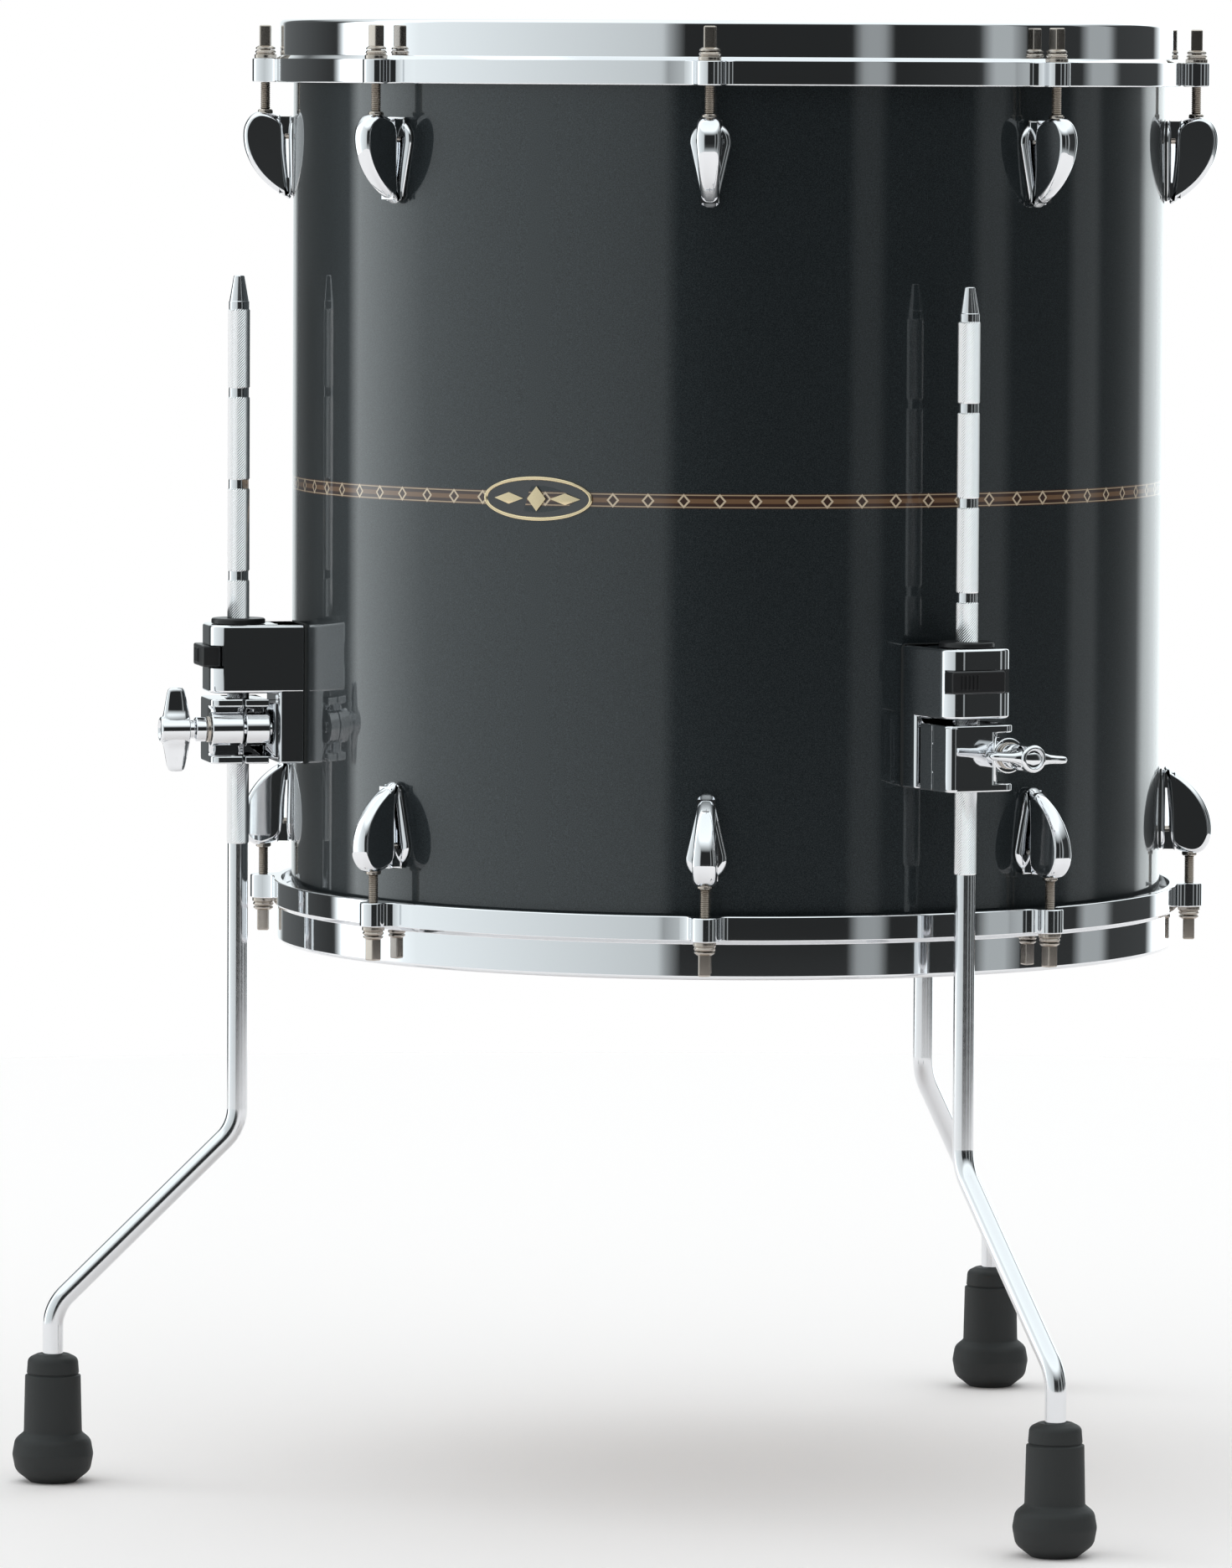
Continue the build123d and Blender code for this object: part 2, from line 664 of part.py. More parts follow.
# ------------------------------------------------------------------ legs and feet
with BuildPart() as leg:
    with BuildLine(Plane.YZ) as leg_path:
        FilletPolyline(
            (-leg_circle, knurl_bottom + 1),
            (-leg_circle, upper_bend),
            (-foot_circle, lower_bend),
            (-foot_circle, foot_socket),
            radius=bend_radius,
        )
    with BuildSketch(Plane(origin=leg_path.line @ 0, z_dir=leg_path.line % 0)):
        Circle(leg_radius)
    sweep()
    with Locations((0, -leg_circle, knurl_bottom)):
        Cylinder(knurl_radius, leg_top - leg_tip_height - leg_neck_height - knurl_bottom,
                 align=(Align.CENTER, Align.CENTER, Align.MIN))
    for height in groove_heights:
        with BuildSketch(Plane.XY.offset(height - groove_height / 2)):
            with Locations((0, -leg_circle)):
                Circle(2 * knurl_radius)
                Circle(knurl_radius - 0.4, mode=Mode.SUBTRACT)
        extrude(amount=groove_height, mode=Mode.SUBTRACT)
    with Locations((0, -leg_circle, leg_top - leg_tip_height)):
        Cylinder(leg_radius, leg_neck_height, align=(Align.CENTER, Align.CENTER, Align.MAX))
        Cone(4.5, 2.45, leg_tip_height, align=(Align.CENTER, Align.CENTER, Align.MIN))

with BuildPart() as leg_foot:
    with BuildSketch(Plane.XZ):
        with BuildLine():
            Polyline((leg_radius, foot_socket), (0, foot_socket), (0, 0), (10.5, 0))
            TangentArc((foot_radius, 14.0), (10.5, 0), tangent=(0, -1))
            TangentArc((foot_radius, 14.0), (13.5, 22.8), tangent=(0, 1))
            Polyline((13.5, 22.8), (12.9, 49.6), (11.7, 50.2), (12.1, 50.9))
            ThreePointArc((12.1, 50.9), (11.3, 57.3), (7.5, foot_height))
            Polyline((7.5, foot_height), (leg_radius, foot_height), (leg_radius, foot_socket))
        make_face()
    revolve(axis=Axis.Z)
with BuildPart() as placed_foot:
    with Locations((0, -foot_circle, 0)):
        add(leg_foot.part)

for side, bearing in leg_bearings.items():
    with BuildPart() as placed_bolt:
        with Locations(Location((bolt_offset, 0, bolt_height), (0, 0, 0))):
            with Locations(Location((0, 0, 0), (0, wing_rest[side], 0))):
                add(wing_bolt.part)
    save(bracket, f"leg_bracket_{side}", bearing)
    save(clamp_jaw, f"clamp_jaw_{side}", bearing)
    save(clamp_washer, f"clamp_washer_{side}", bearing)
    save(placed_bolt, f"wing_bolt_{side}", bearing)
    save(leg_bush, f"leg_bush_{side}", bearing)
    save(lock_slider, f"lock_slider_{side}", bearing)
    save(leg, f"leg_{side}", bearing)
    save(placed_foot, f"leg_foot_{side}", bearing)

print("drum axis at Y =", round(drum_y, 3))
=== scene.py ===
"""Looks of a floor tom: lacquered shell, chrome hoops and lugs, and three knurled legs in clamps.

Sizes are in millimetres and turned into metres when a mesh is finished. A piece is drawn in the
drum's own stations: x is the reach from the drum's axis, y runs to the right as seen from outside,
and z is the height above the floor. A station is then turned to its bearing round the drum, where
bearing 0 faces -Y.
"""

import json
import logging
from collections.abc import Sequence
from dataclasses import dataclass, field
from enum import Enum
from math import asin, atan2, cos, pi, radians, sin, sqrt, tan

import bmesh
import bpy
from mathutils import Matrix, Vector

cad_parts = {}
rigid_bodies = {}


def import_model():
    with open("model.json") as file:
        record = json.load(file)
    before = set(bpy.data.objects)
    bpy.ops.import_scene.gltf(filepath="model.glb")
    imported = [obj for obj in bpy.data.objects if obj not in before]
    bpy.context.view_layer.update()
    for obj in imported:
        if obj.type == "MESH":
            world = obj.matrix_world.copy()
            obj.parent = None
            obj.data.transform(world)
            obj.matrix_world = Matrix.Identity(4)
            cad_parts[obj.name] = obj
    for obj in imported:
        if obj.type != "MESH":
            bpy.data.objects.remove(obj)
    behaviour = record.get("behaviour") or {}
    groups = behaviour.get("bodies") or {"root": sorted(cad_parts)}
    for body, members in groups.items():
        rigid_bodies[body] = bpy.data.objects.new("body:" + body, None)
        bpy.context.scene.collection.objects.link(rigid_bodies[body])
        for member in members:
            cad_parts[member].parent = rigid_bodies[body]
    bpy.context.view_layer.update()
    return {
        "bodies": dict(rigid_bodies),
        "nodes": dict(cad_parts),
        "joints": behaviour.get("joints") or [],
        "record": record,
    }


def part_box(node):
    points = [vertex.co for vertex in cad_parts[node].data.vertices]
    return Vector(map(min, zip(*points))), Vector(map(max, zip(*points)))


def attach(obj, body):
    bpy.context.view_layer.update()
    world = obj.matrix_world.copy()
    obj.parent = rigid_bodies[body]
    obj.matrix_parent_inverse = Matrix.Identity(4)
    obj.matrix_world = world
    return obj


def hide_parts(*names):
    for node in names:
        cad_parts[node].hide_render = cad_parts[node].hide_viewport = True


LOG = logging.getLogger("floor_tom")
METRE = 0.001
TURN = 2 * pi
MERGE_DISTANCE = 2e-6
SEAM_DISTANCE = 1e-6
LEAST_EDGE = 1e-7
SHELL_RADIUS = 203.2
SHELL_HIGH = 665.7
LEG_REACH = 231.7

Outline = list[tuple[float, float]]
Corner = tuple[float, float, float]


class Side(Enum):
    """The three legs, by where they stand, with their bearings and their wings' turns at rest."""

    LEFT = ("left", -52.5, 90.0)
    RIGHT = ("right", 52.5, -4.0)
    BACK = ("back", 180.0, 35.0)

    def __init__(self, label: str, bearing: float, wing_turn: float) -> None:
        """Keep the leg's name, its bearing and its wing bolt's turn, in degrees."""
        self.label = label
        self.bearing = bearing
        self.wing_turn = wing_turn


class End(Enum):
    """The drum's two ends: the batter end on top, and the resonant end under it."""

    BATTER = "batter"
    RESONANT = "resonant"


class Slot(Enum):
    """Material slots of the part's record, for the pieces drawn here."""

    LACQUER = "shell_lacquer"
    INLAY = "inlay"
    BADGE = "badge"
    CHROME = "bright_chrome"
    LEG_CHROME = "leg_chrome"
    STEEL = "plated_steel"
    COATED_FILM = "coated_film"
    CLEAR_FILM = "clear_film"
    RUBBER = "black_rubber"
    PLASTIC = "black_plastic"


# ---------------------------------------------------------------- finishes


def set_stops(band: bpy.types.ColorRamp, stops: Sequence[tuple[float, Sequence[float]]]) -> None:
    """Give a colour ramp its stops, each a place and a colour, in rising order."""
    while len(band.elements) > 1:
        band.elements.remove(band.elements[-1])
    band.elements[0].position = stops[0][0]
    band.elements[0].color = (*stops[0][1], 1)
    for place, colour in stops[1:]:
        band.elements.new(place).color = (*colour, 1)


class NodeBench:
    """A node tree, with short ways to add nodes and join them."""

    def __init__(self, tree: bpy.types.NodeTree) -> None:
        """Keep the tree that the nodes go in."""
        self.tree = tree

    def add(self, kind: str, **settings: object) -> bpy.types.Node:
        """Add a node.

        Args:
            kind: the node's Blender type.
            settings: its properties, or its input sockets' values by socket name.

        Returns:
            The node.
        """
        node = self.tree.nodes.new(kind)
        for name, value in settings.items():
            if hasattr(node, name):
                setattr(node, name, value)
            else:
                node.inputs[name.replace("_", " ")].default_value = value
        return node

    def join(self, source: bpy.types.NodeSocket, target: bpy.types.NodeSocket) -> None:
        """Link one socket to another."""
        self.tree.links.new(source, target)

    def math(self, operation: str, *terms: object) -> bpy.types.NodeSocket:
        """Add a Math node.

        Args:
            operation: the node's operation.
            terms: one to three terms, each a number, a socket or the name of a tree's input.

        Returns:
            The result's socket.
        """
        node = self.add("ShaderNodeMath", operation=operation)
        for index, term in enumerate(terms):
            if isinstance(term, (int, float)):
                node.inputs[index].default_value = term
            else:
                self.join(self.socket(term), node.inputs[index])
        return node.outputs[0]

    def socket(self, term: object) -> bpy.types.NodeSocket:
        """Return the socket that a term stands for."""
        return term

    def ramp(
        self, factor: bpy.types.NodeSocket, stops: Sequence[tuple[float, Sequence[float]]]
    ) -> bpy.types.NodeSocket:
        """Return a colour ramp's colour for a factor, from stops of place and colour."""
        node = self.add("ShaderNodeValToRGB")
        set_stops(node.color_ramp, stops)
        self.join(factor, node.inputs["Fac"])
        return node.outputs["Color"]


class NodeSheet(NodeBench):
    """A new material's node tree."""

    def __init__(self, name: str) -> None:
        """Start a material that holds one principled shader."""
        self.material = bpy.data.materials.new(name)
        self.material.use_nodes = True
        super().__init__(self.material.node_tree)
        self.shader = self.tree.nodes["Principled BSDF"]

    def set(self, **values: object) -> None:
        """Set the shader's own sockets; Base_Color stands for the socket Base Color."""
        for name, value in values.items():
            self.shader.inputs[name.replace("_", " ")].default_value = value

    def place(self, stretch: Sequence[float] = (1, 1, 1)) -> bpy.types.NodeSocket:
        """Return the Object coordinates, stretched along the three axes."""
        coordinates = self.add("ShaderNodeTexCoord")
        mapping = self.add("ShaderNodeMapping")
        mapping.inputs["Scale"].default_value = stretch
        self.join(coordinates.outputs["Object"], mapping.inputs["Vector"])
        return mapping.outputs[0]

    def noise(
        self, scale: float, stretch: Sequence[float] = (1, 1, 1), detail: float = 2
    ) -> bpy.types.NodeSocket:
        """Return a noise texture's factor at a scale, stretched along the axes."""
        texture = self.add("ShaderNodeTexNoise", Scale=scale, Detail=detail)
        self.join(self.place(stretch), texture.inputs["Vector"])
        return texture.outputs["Fac"]

    def bump(self, height: bpy.types.NodeSocket, strength: float, distance: float) -> None:
        """Raise the surface by a height, to a distance in metres."""
        node = self.add("ShaderNodeBump", Strength=strength, Distance=distance)
        self.join(height, node.inputs["Height"])
        self.join(node.outputs["Normal"], self.shader.inputs["Normal"])


@dataclass(frozen=True)
class Finish:
    """An even finish: colour, metal and gloss, and the grain that breaks its gloss up."""

    name: str
    colour: tuple[float, float, float]
    metallic: float = 0.0
    roughness: float = 0.4
    coat: float = 0.0
    specular: float = 0.5
    grain: float = 0.0
    grain_scale: float = 300.0

    def material(self) -> bpy.types.Material:
        """Build the finish's material once, and return it."""
        found = bpy.data.materials.get(self.name)
        if found:
            return found
        sheet = NodeSheet(self.name)
        sheet.set(
            Base_Color=(*self.colour, 1),
            Metallic=self.metallic,
            Roughness=self.roughness,
            Coat_Weight=self.coat,
            Coat_Roughness=0.03,
            Specular_IOR_Level=self.specular,
        )
        self.dress(sheet)
        return sheet.material

    def dress(self, sheet: NodeSheet) -> None:
        """Roughen the finish unevenly where it has a grain."""
        if self.grain:
            even = self.roughness - self.grain / 2
            uneven = sheet.math("MULTIPLY_ADD", sheet.noise(self.grain_scale), self.grain, even)
            sheet.join(uneven, sheet.shader.inputs["Roughness"])


@dataclass(frozen=True)
class FlakeLacquer(Finish):
    """Metal flake under a clear coat, for the outside of the shell."""

    flake: tuple[float, float, float] = (0.2, 0.22, 0.24)
    flake_scale: float = 2600.0

    def dress(self, sheet: NodeSheet) -> None:
        """Scatter light flakes through the base colour."""
        speck = sheet.noise(self.flake_scale, detail=3)
        colour = sheet.ramp(speck, [(0.38, self.colour), (0.74, self.flake)])
        sheet.join(colour, sheet.shader.inputs["Base Color"])


@dataclass(frozen=True)
class PlyWood(Finish):
    """Maple veneer with its grain round the shell, for the inside."""

    dark: tuple[float, float, float] = (0.43, 0.27, 0.13)

    def dress(self, sheet: NodeSheet) -> None:
        """Streak the colour along the horizontal, and roughen the streaks."""
        streak = sheet.noise(9.0, (1, 1, 26), detail=6)
        colour = sheet.ramp(streak, [(0.3, self.dark), (0.7, self.colour)])
        sheet.join(colour, sheet.shader.inputs["Base Color"])
        sheet.bump(streak, 0.25, 0.0004)


@dataclass(frozen=True)
class CoatedFilm(Finish):
    """Sprayed drum head: white, matt, with a fine tooth."""

    def dress(self, sheet: NodeSheet) -> None:
        """Give the coat its tooth."""
        sheet.bump(sheet.noise(900.0, detail=4), 0.35, 0.0002)


@dataclass(frozen=True)
class ClearFilm(Finish):
    """Clear drum head that the inside of the drum shows through."""

    def dress(self, sheet: NodeSheet) -> None:
        """Let most of the light through."""
        sheet.set(Transmission_Weight=0.85, IOR=1.2, Alpha=0.45)


@dataclass(frozen=True)
class MouldedRubber(Finish):
    """Matt rubber with a soft unevenness."""

    def dress(self, sheet: NodeSheet) -> None:
        """Pit the surface slightly."""
        sheet.bump(sheet.noise(700.0, detail=3), 0.3, 0.0003)


@dataclass(frozen=True)
class InlayRibbon(Finish):
    """Wood inlay that runs round the shell: fine lines, dark stripes and a chain of lozenges."""

    axis: tuple[float, float] = (0.0, 0.0)
    middle: float = 0.0
    half_height: float = 0.0034
    lozenges: int = 79
    pale: tuple[float, float, float] = (0.42, 0.31, 0.2)
    dark: tuple[float, float, float] = (0.035, 0.012, 0.006)
    tan_wood: tuple[float, float, float] = (0.16, 0.085, 0.04)
    lozenge_line: tuple[float, float, float] = (0.62, 0.5, 0.36)
    lozenge_edge: float = 0.98
    lozenge_heart: float = 0.62
    lozenge_slimness: float = 5.4

    def dress(self, sheet: NodeSheet) -> None:
        """Paint stripes by height, and lozenges by the turn round the shell."""
        place = sheet.add("ShaderNodeSeparateXYZ")
        sheet.join(sheet.place(), place.inputs[0])
        x, y, z = place.outputs
        rise = sheet.math("SUBTRACT", z, self.middle)
        level = sheet.math("ABSOLUTE", sheet.math("DIVIDE", rise, self.half_height))
        stripes = sheet.add("ShaderNodeValToRGB")
        stripes.color_ramp.interpolation = "CONSTANT"
        stops = [(0.0, self.tan_wood), (0.3, self.dark), (0.72, self.pale), (0.86, self.dark)]
        set_stops(stripes.color_ramp, stops)
        sheet.join(level, stripes.inputs["Fac"])
        aside, ahead = sheet.math("SUBTRACT", x, self.axis[0]), sheet.math("SUBTRACT", y, self.axis[1])
        turn = sheet.math("ARCTAN2", ahead, aside)
        step = sheet.math("FRACT", sheet.math("MULTIPLY", turn, self.lozenges / TURN))
        off_centre = sheet.math("ABSOLUTE", sheet.math("SUBTRACT", step, 0.5))
        ring = sheet.math("ADD", sheet.math("MULTIPLY", off_centre, self.lozenge_slimness), level)
        inside = sheet.math("LESS_THAN", ring, self.lozenge_edge)
        line = sheet.math("MULTIPLY", inside, sheet.math("GREATER_THAN", ring, self.lozenge_heart))
        heart = sheet.math("LESS_THAN", ring, self.lozenge_heart)
        colour = stripes.outputs["Color"]
        for mask, paint in ((heart, self.dark), (line, self.lozenge_line)):
            mix = sheet.add("ShaderNodeMix", data_type="RGBA")
            sheet.join(mask, mix.inputs["Factor"])
            sheet.join(colour, mix.inputs[6])
            mix.inputs[7].default_value = (*paint, 1)
            colour = mix.outputs[2]
        sheet.join(colour, sheet.shader.inputs["Base Color"])


# ---------------------------------------------------------------- drawing shapes


def rounded(corners: Sequence[Corner], closed: bool = True, steps: int = 5) -> Outline:
    """Draw an outline through corners, with each corner's own radius as an arc.

    Args:
        corners: x, y and radius of each corner, in order.
        closed: whether the last corner joins the first.
        steps: the pieces in each arc.

    Returns:
        The outline's points.
    """
    outline: Outline = []
    count = len(corners)
    for index, (x, y, radius) in enumerate(corners):
        here = Vector((x, y))
        if radius <= 0 or (not closed and index in (0, count - 1)):
            outline.append((x, y))
            continue
        back = (Vector(corners[index - 1][:2]) - here).normalized()
        onward = (Vector(corners[(index + 1) % count][:2]) - here).normalized()
        half = back.angle(onward) / 2
        centre = here + (back + onward).normalized() * (radius / sin(half))
        first = here + back * (radius / tan(half)) - centre
        last = here + onward * (radius / tan(half)) - centre
        start = atan2(first.y, first.x)
        sweep = (atan2(last.y, last.x) - start + pi) % TURN - pi
        for step in range(steps + 1):
            angle = start + sweep * step / steps
            outline.append((centre.x + radius * cos(angle), centre.y + radius * sin(angle)))
    return outline


def through(knots: Sequence[tuple[float, float]], steps: int = 6) -> Outline:
    """Draw a smooth closed outline through its knots."""
    outline: Outline = []
    count = len(knots)
    for index in range(count):
        a, b, c, d = (Vector(knots[(index + shift) % count]) for shift in (-1, 0, 1, 2))
        for step in range(steps):
            t = step / steps
            bend, twist = 2 * a - 5 * b + 4 * c - d, 3 * b - a - 3 * c + d
            point = 0.5 * (2 * b + (c - a) * t + bend * t**2 + twist * t**3)
            outline.append((point.x, point.y))
    return outline


def inset(outline: Outline, distance: float) -> Outline:
    """Draw a counterclockwise outline again, a distance inside itself."""
    result: Outline = []
    count = len(outline)
    for index in range(count):
        here = Vector(outline[index])
        before = (here - Vector(outline[index - 1])).normalized()
        after = (Vector(outline[(index + 1) % count]) - here).normalized()
        inward = Vector((-before.y - after.y, before.x + after.x))
        share = 1 + before.dot(after)
        moved = here + inward * (distance / max(share, 0.3))
        result.append((moved.x, moved.y))
    return result


def circle(radius: float, centre: tuple[float, float] = (0, 0), count: int = 32) -> Outline:
    """Draw a circle, counterclockwise."""
    turns = [TURN * n / count for n in range(count)]
    return [(centre[0] + radius * cos(a), centre[1] + radius * sin(a)) for a in turns]


@dataclass
class Shape:
    """Points and faces of a mesh that is being drawn, in millimetres."""

    points: list[Vector] = field(default_factory=list)
    faces: list[tuple[int, ...]] = field(default_factory=list)
    coats: list[int] = field(default_factory=list)

    def loft(
        self,
        rings: Sequence[Sequence[Sequence[float]]],
        closed: bool = False,
        coats: Sequence[int] = (0,),
    ) -> "Shape":
        """Join rings of equal length into a skin.

        Args:
            rings: the rings, each a closed row of points.
            closed: whether the last ring joins the first; if not, both of them are filled.
            coats: the finish number of each column of faces, or one number for all.

        Returns:
            This shape.
        """
        start, size, count = len(self.points), len(rings[0]), len(rings)
        for ring in rings:
            self.points.extend(Vector(point) for point in ring)
        for row in range(count if closed else count - 1):
            near, far = start + row * size, start + (row + 1) % count * size
            for column in range(size):
                after = (column + 1) % size
                self.faces.append((near + column, near + after, far + after, far + column))
                self.coats.append(coats[column % len(coats)])
        if not closed:
            self.faces.append(tuple(range(start + size - 1, start - 1, -1)))
            last = start + (count - 1) * size
            self.faces.append(tuple(range(last, last + size)))
            self.coats.extend((coats[0], coats[0]))
        return self

    def lathe(self, profile: Outline, segments: int = 48, coats: Sequence[int] = (0,)) -> "Shape":
        """Turn a closed profile of radius and height about the z axis."""
        turns = [TURN * step / segments for step in range(segments)]
        rings = [[(r * cos(a), r * sin(a), z) for r, z in profile] for a in turns]
        return self.loft(rings, closed=True, coats=coats)

    def pillow(self, outline: Outline, low: float, high: float, edge: float, steps: int = 4) -> "Shape":
        """Raise a flat outline from low to high, with its two borders rounded to a radius."""
        turns = [pi / 2 * step / steps for step in range(steps + 1)]
        rings = [
            [(x, y, low + edge * (1 - cos(a))) for x, y in inset(outline, edge * (1 - sin(a)))]
            for a in turns
        ]
        rings += [[(x, y, high + low - z) for x, y, z in ring] for ring in reversed(rings)]
        return self.loft(rings)

    def add(self, other: "Shape") -> "Shape":
        """Take in another shape's points and faces."""
        start = len(self.points)
        self.points.extend(other.points)
        self.faces.extend(tuple(start + corner for corner in face) for face in other.faces)
        self.coats.extend(other.coats)
        return self

    def moved(self, matrix: Matrix) -> "Shape":
        """Return a copy of the shape, moved by a matrix."""
        return Shape([matrix @ point for point in self.points], list(self.faces), list(self.coats))

    def mirrored(self, middle: float) -> "Shape":
        """Return the shape's mirror image about a height."""
        return self.moved(Matrix.Translation((0, 0, 2 * middle)) @ Matrix.Scale(-1, 4, (0, 0, 1)))

    def object(self, name: str, finishes: Sequence[Finish], sharp: float = 34.0) -> bpy.types.Object:
        """Make the shape a mesh object in metres, with its faces turned outwards.

        Args:
            name: the object's name.
            finishes: the finishes that the faces' numbers stand for.
            sharp: the angle in degrees past which an edge stays crisp.

        Returns:
            The object, linked to the scene.
        """
        mesh = bpy.data.meshes.new(name)
        mesh.from_pydata([point * METRE for point in self.points], [], self.faces)
        mesh.polygons.foreach_set("material_index", self.coats)
        for finish in finishes:
            mesh.materials.append(finish.material())
        tidy_mesh(mesh, sharp)
        return linked(name, mesh)


def linked(name: str, content: bpy.types.ID) -> bpy.types.Object:
    """Return a new object in the scene that holds a mesh or a camera."""
    made = bpy.data.objects.new(name, content)
    bpy.context.scene.collection.objects.link(made)
    return made


def smooth(mesh: bpy.types.Mesh, sharp: float) -> None:
    """Smooth all edges but those past an angle in degrees."""
    mesh.polygons.foreach_set("use_smooth", [True] * len(mesh.polygons))
    mesh.set_sharp_from_angle(angle=radians(sharp))


def tidy_mesh(mesh: bpy.types.Mesh, sharp: float) -> None:
    """Merge doubles, turn the faces outwards, and smooth all but the sharp edges."""
    work = bmesh.new()
    work.from_mesh(mesh)
    bmesh.ops.remove_doubles(work, verts=work.verts, dist=MERGE_DISTANCE)
    bmesh.ops.dissolve_degenerate(work, edges=work.edges, dist=LEAST_EDGE)
    bmesh.ops.recalc_face_normals(work, faces=work.faces)
    work.to_mesh(mesh)
    work.free()
    smooth(mesh, sharp)


def baked(source: bpy.types.Object) -> bpy.types.Object:
    """Turn an object's modifiers into plain mesh, and remove them."""
    graph = bpy.context.evaluated_depsgraph_get()
    mesh = bpy.data.meshes.new_from_object(
        source.evaluated_get(graph), preserve_all_data_layers=True, depsgraph=graph
    )
    source.modifiers.clear()
    source.data = mesh
    mesh.name = source.name
    return source


def carve(body: bpy.types.Object, tool: Shape, melt: bool = False) -> bpy.types.Object:
    """Cut a shape out of an object.

    Args:
        body: the object.
        tool: the shape to cut out of it.
        melt: whether the object's own overlapping parts become one solid.

    Returns:
        The object.
    """
    helper = tool.object("tool", [])
    modifier = body.modifiers.new("carve", "BOOLEAN")
    modifier.operation, modifier.solver, modifier.object = "DIFFERENCE", "EXACT", helper
    modifier.use_self = melt
    baked(body)
    bpy.data.objects.remove(helper)
    return body


def settle(body: bpy.types.Object, sharp: float = 34.0) -> bpy.types.Object:
    """Even out an object's normals, so that flat faces reflect flat."""
    tidy_mesh(body.data, sharp)
    body.modifiers.new("flats", "WEIGHTED_NORMAL").keep_sharp = True
    return baked(body)


def turned(degrees_: float, axis: str = "Z") -> Matrix:
    """Return a turn about an axis, from degrees."""
    return Matrix.Rotation(radians(degrees_), 4, axis)


def shifted(x: float = 0, y: float = 0, z: float = 0) -> Matrix:
    """Return a move."""
    return Matrix.Translation((x, y, z))


OUTWARD = Matrix(((0, 0, 1, 0), (1, 0, 0, 0), (0, 1, 0, 0), (0, 0, 0, 1)))
"""Turns a shape's z to the outward x, its x to the station's right, and its y up."""


@dataclass
class DrumAxis:
    """The drum's own axis, which stations are measured from."""

    y: float

    def station(self, bearing: float) -> Matrix:
        """Return the matrix from a station's coordinates to the row frame, in millimetres."""
        return shifted(0, self.y) @ turned(bearing - 90)

    def nearby(self, reach: float, bearing: float) -> Matrix:
        """Return the matrix of an upright line at a reach and bearing from the axis."""
        return self.station(bearing) @ shifted(reach)


def wrap(flat: Shape, radius: float, lift: float = 0.0) -> Shape:
    """Wrap a flat shape, with its z outwards and its y up, round a cylinder.

    Args:
        flat: the shape.
        radius: the cylinder's radius.
        lift: how far the shape stands off the cylinder.

    Returns:
        The wrapped shape.
    """
    bent = []
    for point in flat.points:
        angle, reach = point.x / radius, radius + lift + point.z
        bent.append(Vector((reach * cos(angle), reach * sin(angle), point.y)))
    return Shape(bent, flat.faces, flat.coats)


# ---------------------------------------------------------------- node trees


class NodeTree(NodeBench):
    """A Geometry Nodes tree with named inputs, built once and run on empty meshes."""

    def __init__(self, name: str, inputs: Sequence[tuple[str, str]]) -> None:
        """Start the tree.

        Args:
            name: the tree's name.
            inputs: each input's name and socket type.
        """
        super().__init__(bpy.data.node_groups.new(name, "GeometryNodeTree"))
        sockets = self.tree.interface
        sockets.new_socket(name="Geometry", in_out="OUTPUT", socket_type="NodeSocketGeometry")
        for title, kind in inputs:
            sockets.new_socket(name=title, in_out="INPUT", socket_type=kind)
        self.source = self.add("NodeGroupInput")
        self.sink = self.add("NodeGroupOutput")

    def socket(self, term: object) -> bpy.types.NodeSocket:
        """Return the socket that a term stands for: an input's, where it is a name."""
        return self.source.outputs[term] if isinstance(term, str) else term

    def take(self, title: str, target: bpy.types.NodeSocket) -> None:
        """Link one of the tree's inputs to a socket."""
        self.join(self.source.outputs[title], target)

    def close(self, geometry: bpy.types.NodeSocket) -> None:
        """End the tree in Realize Instances and Set Material."""
        realize = self.add("GeometryNodeRealizeInstances")
        dress = self.add("GeometryNodeSetMaterial")
        self.join(geometry, realize.inputs[0])
        self.join(realize.outputs[0], dress.inputs["Geometry"])
        self.take("Finish", dress.inputs["Material"])
        self.join(dress.outputs[0], self.sink.inputs[0])

    def run(self, name: str, values: dict[str, object]) -> bpy.types.Object:
        """Run the tree.

        Args:
            name: the name of the object to make.
            values: a value for each of the tree's inputs.

        Returns:
            An object that holds the result as a plain mesh.
        """
        made = linked(name, bpy.data.meshes.new(name))
        modifier = made.modifiers.new("tree", "NODES")
        modifier.node_group = self.tree
        for item in self.tree.interface.items_tree:
            if item.in_out == "INPUT":
                modifier[item.identifier] = values[item.name]
        return baked(made)


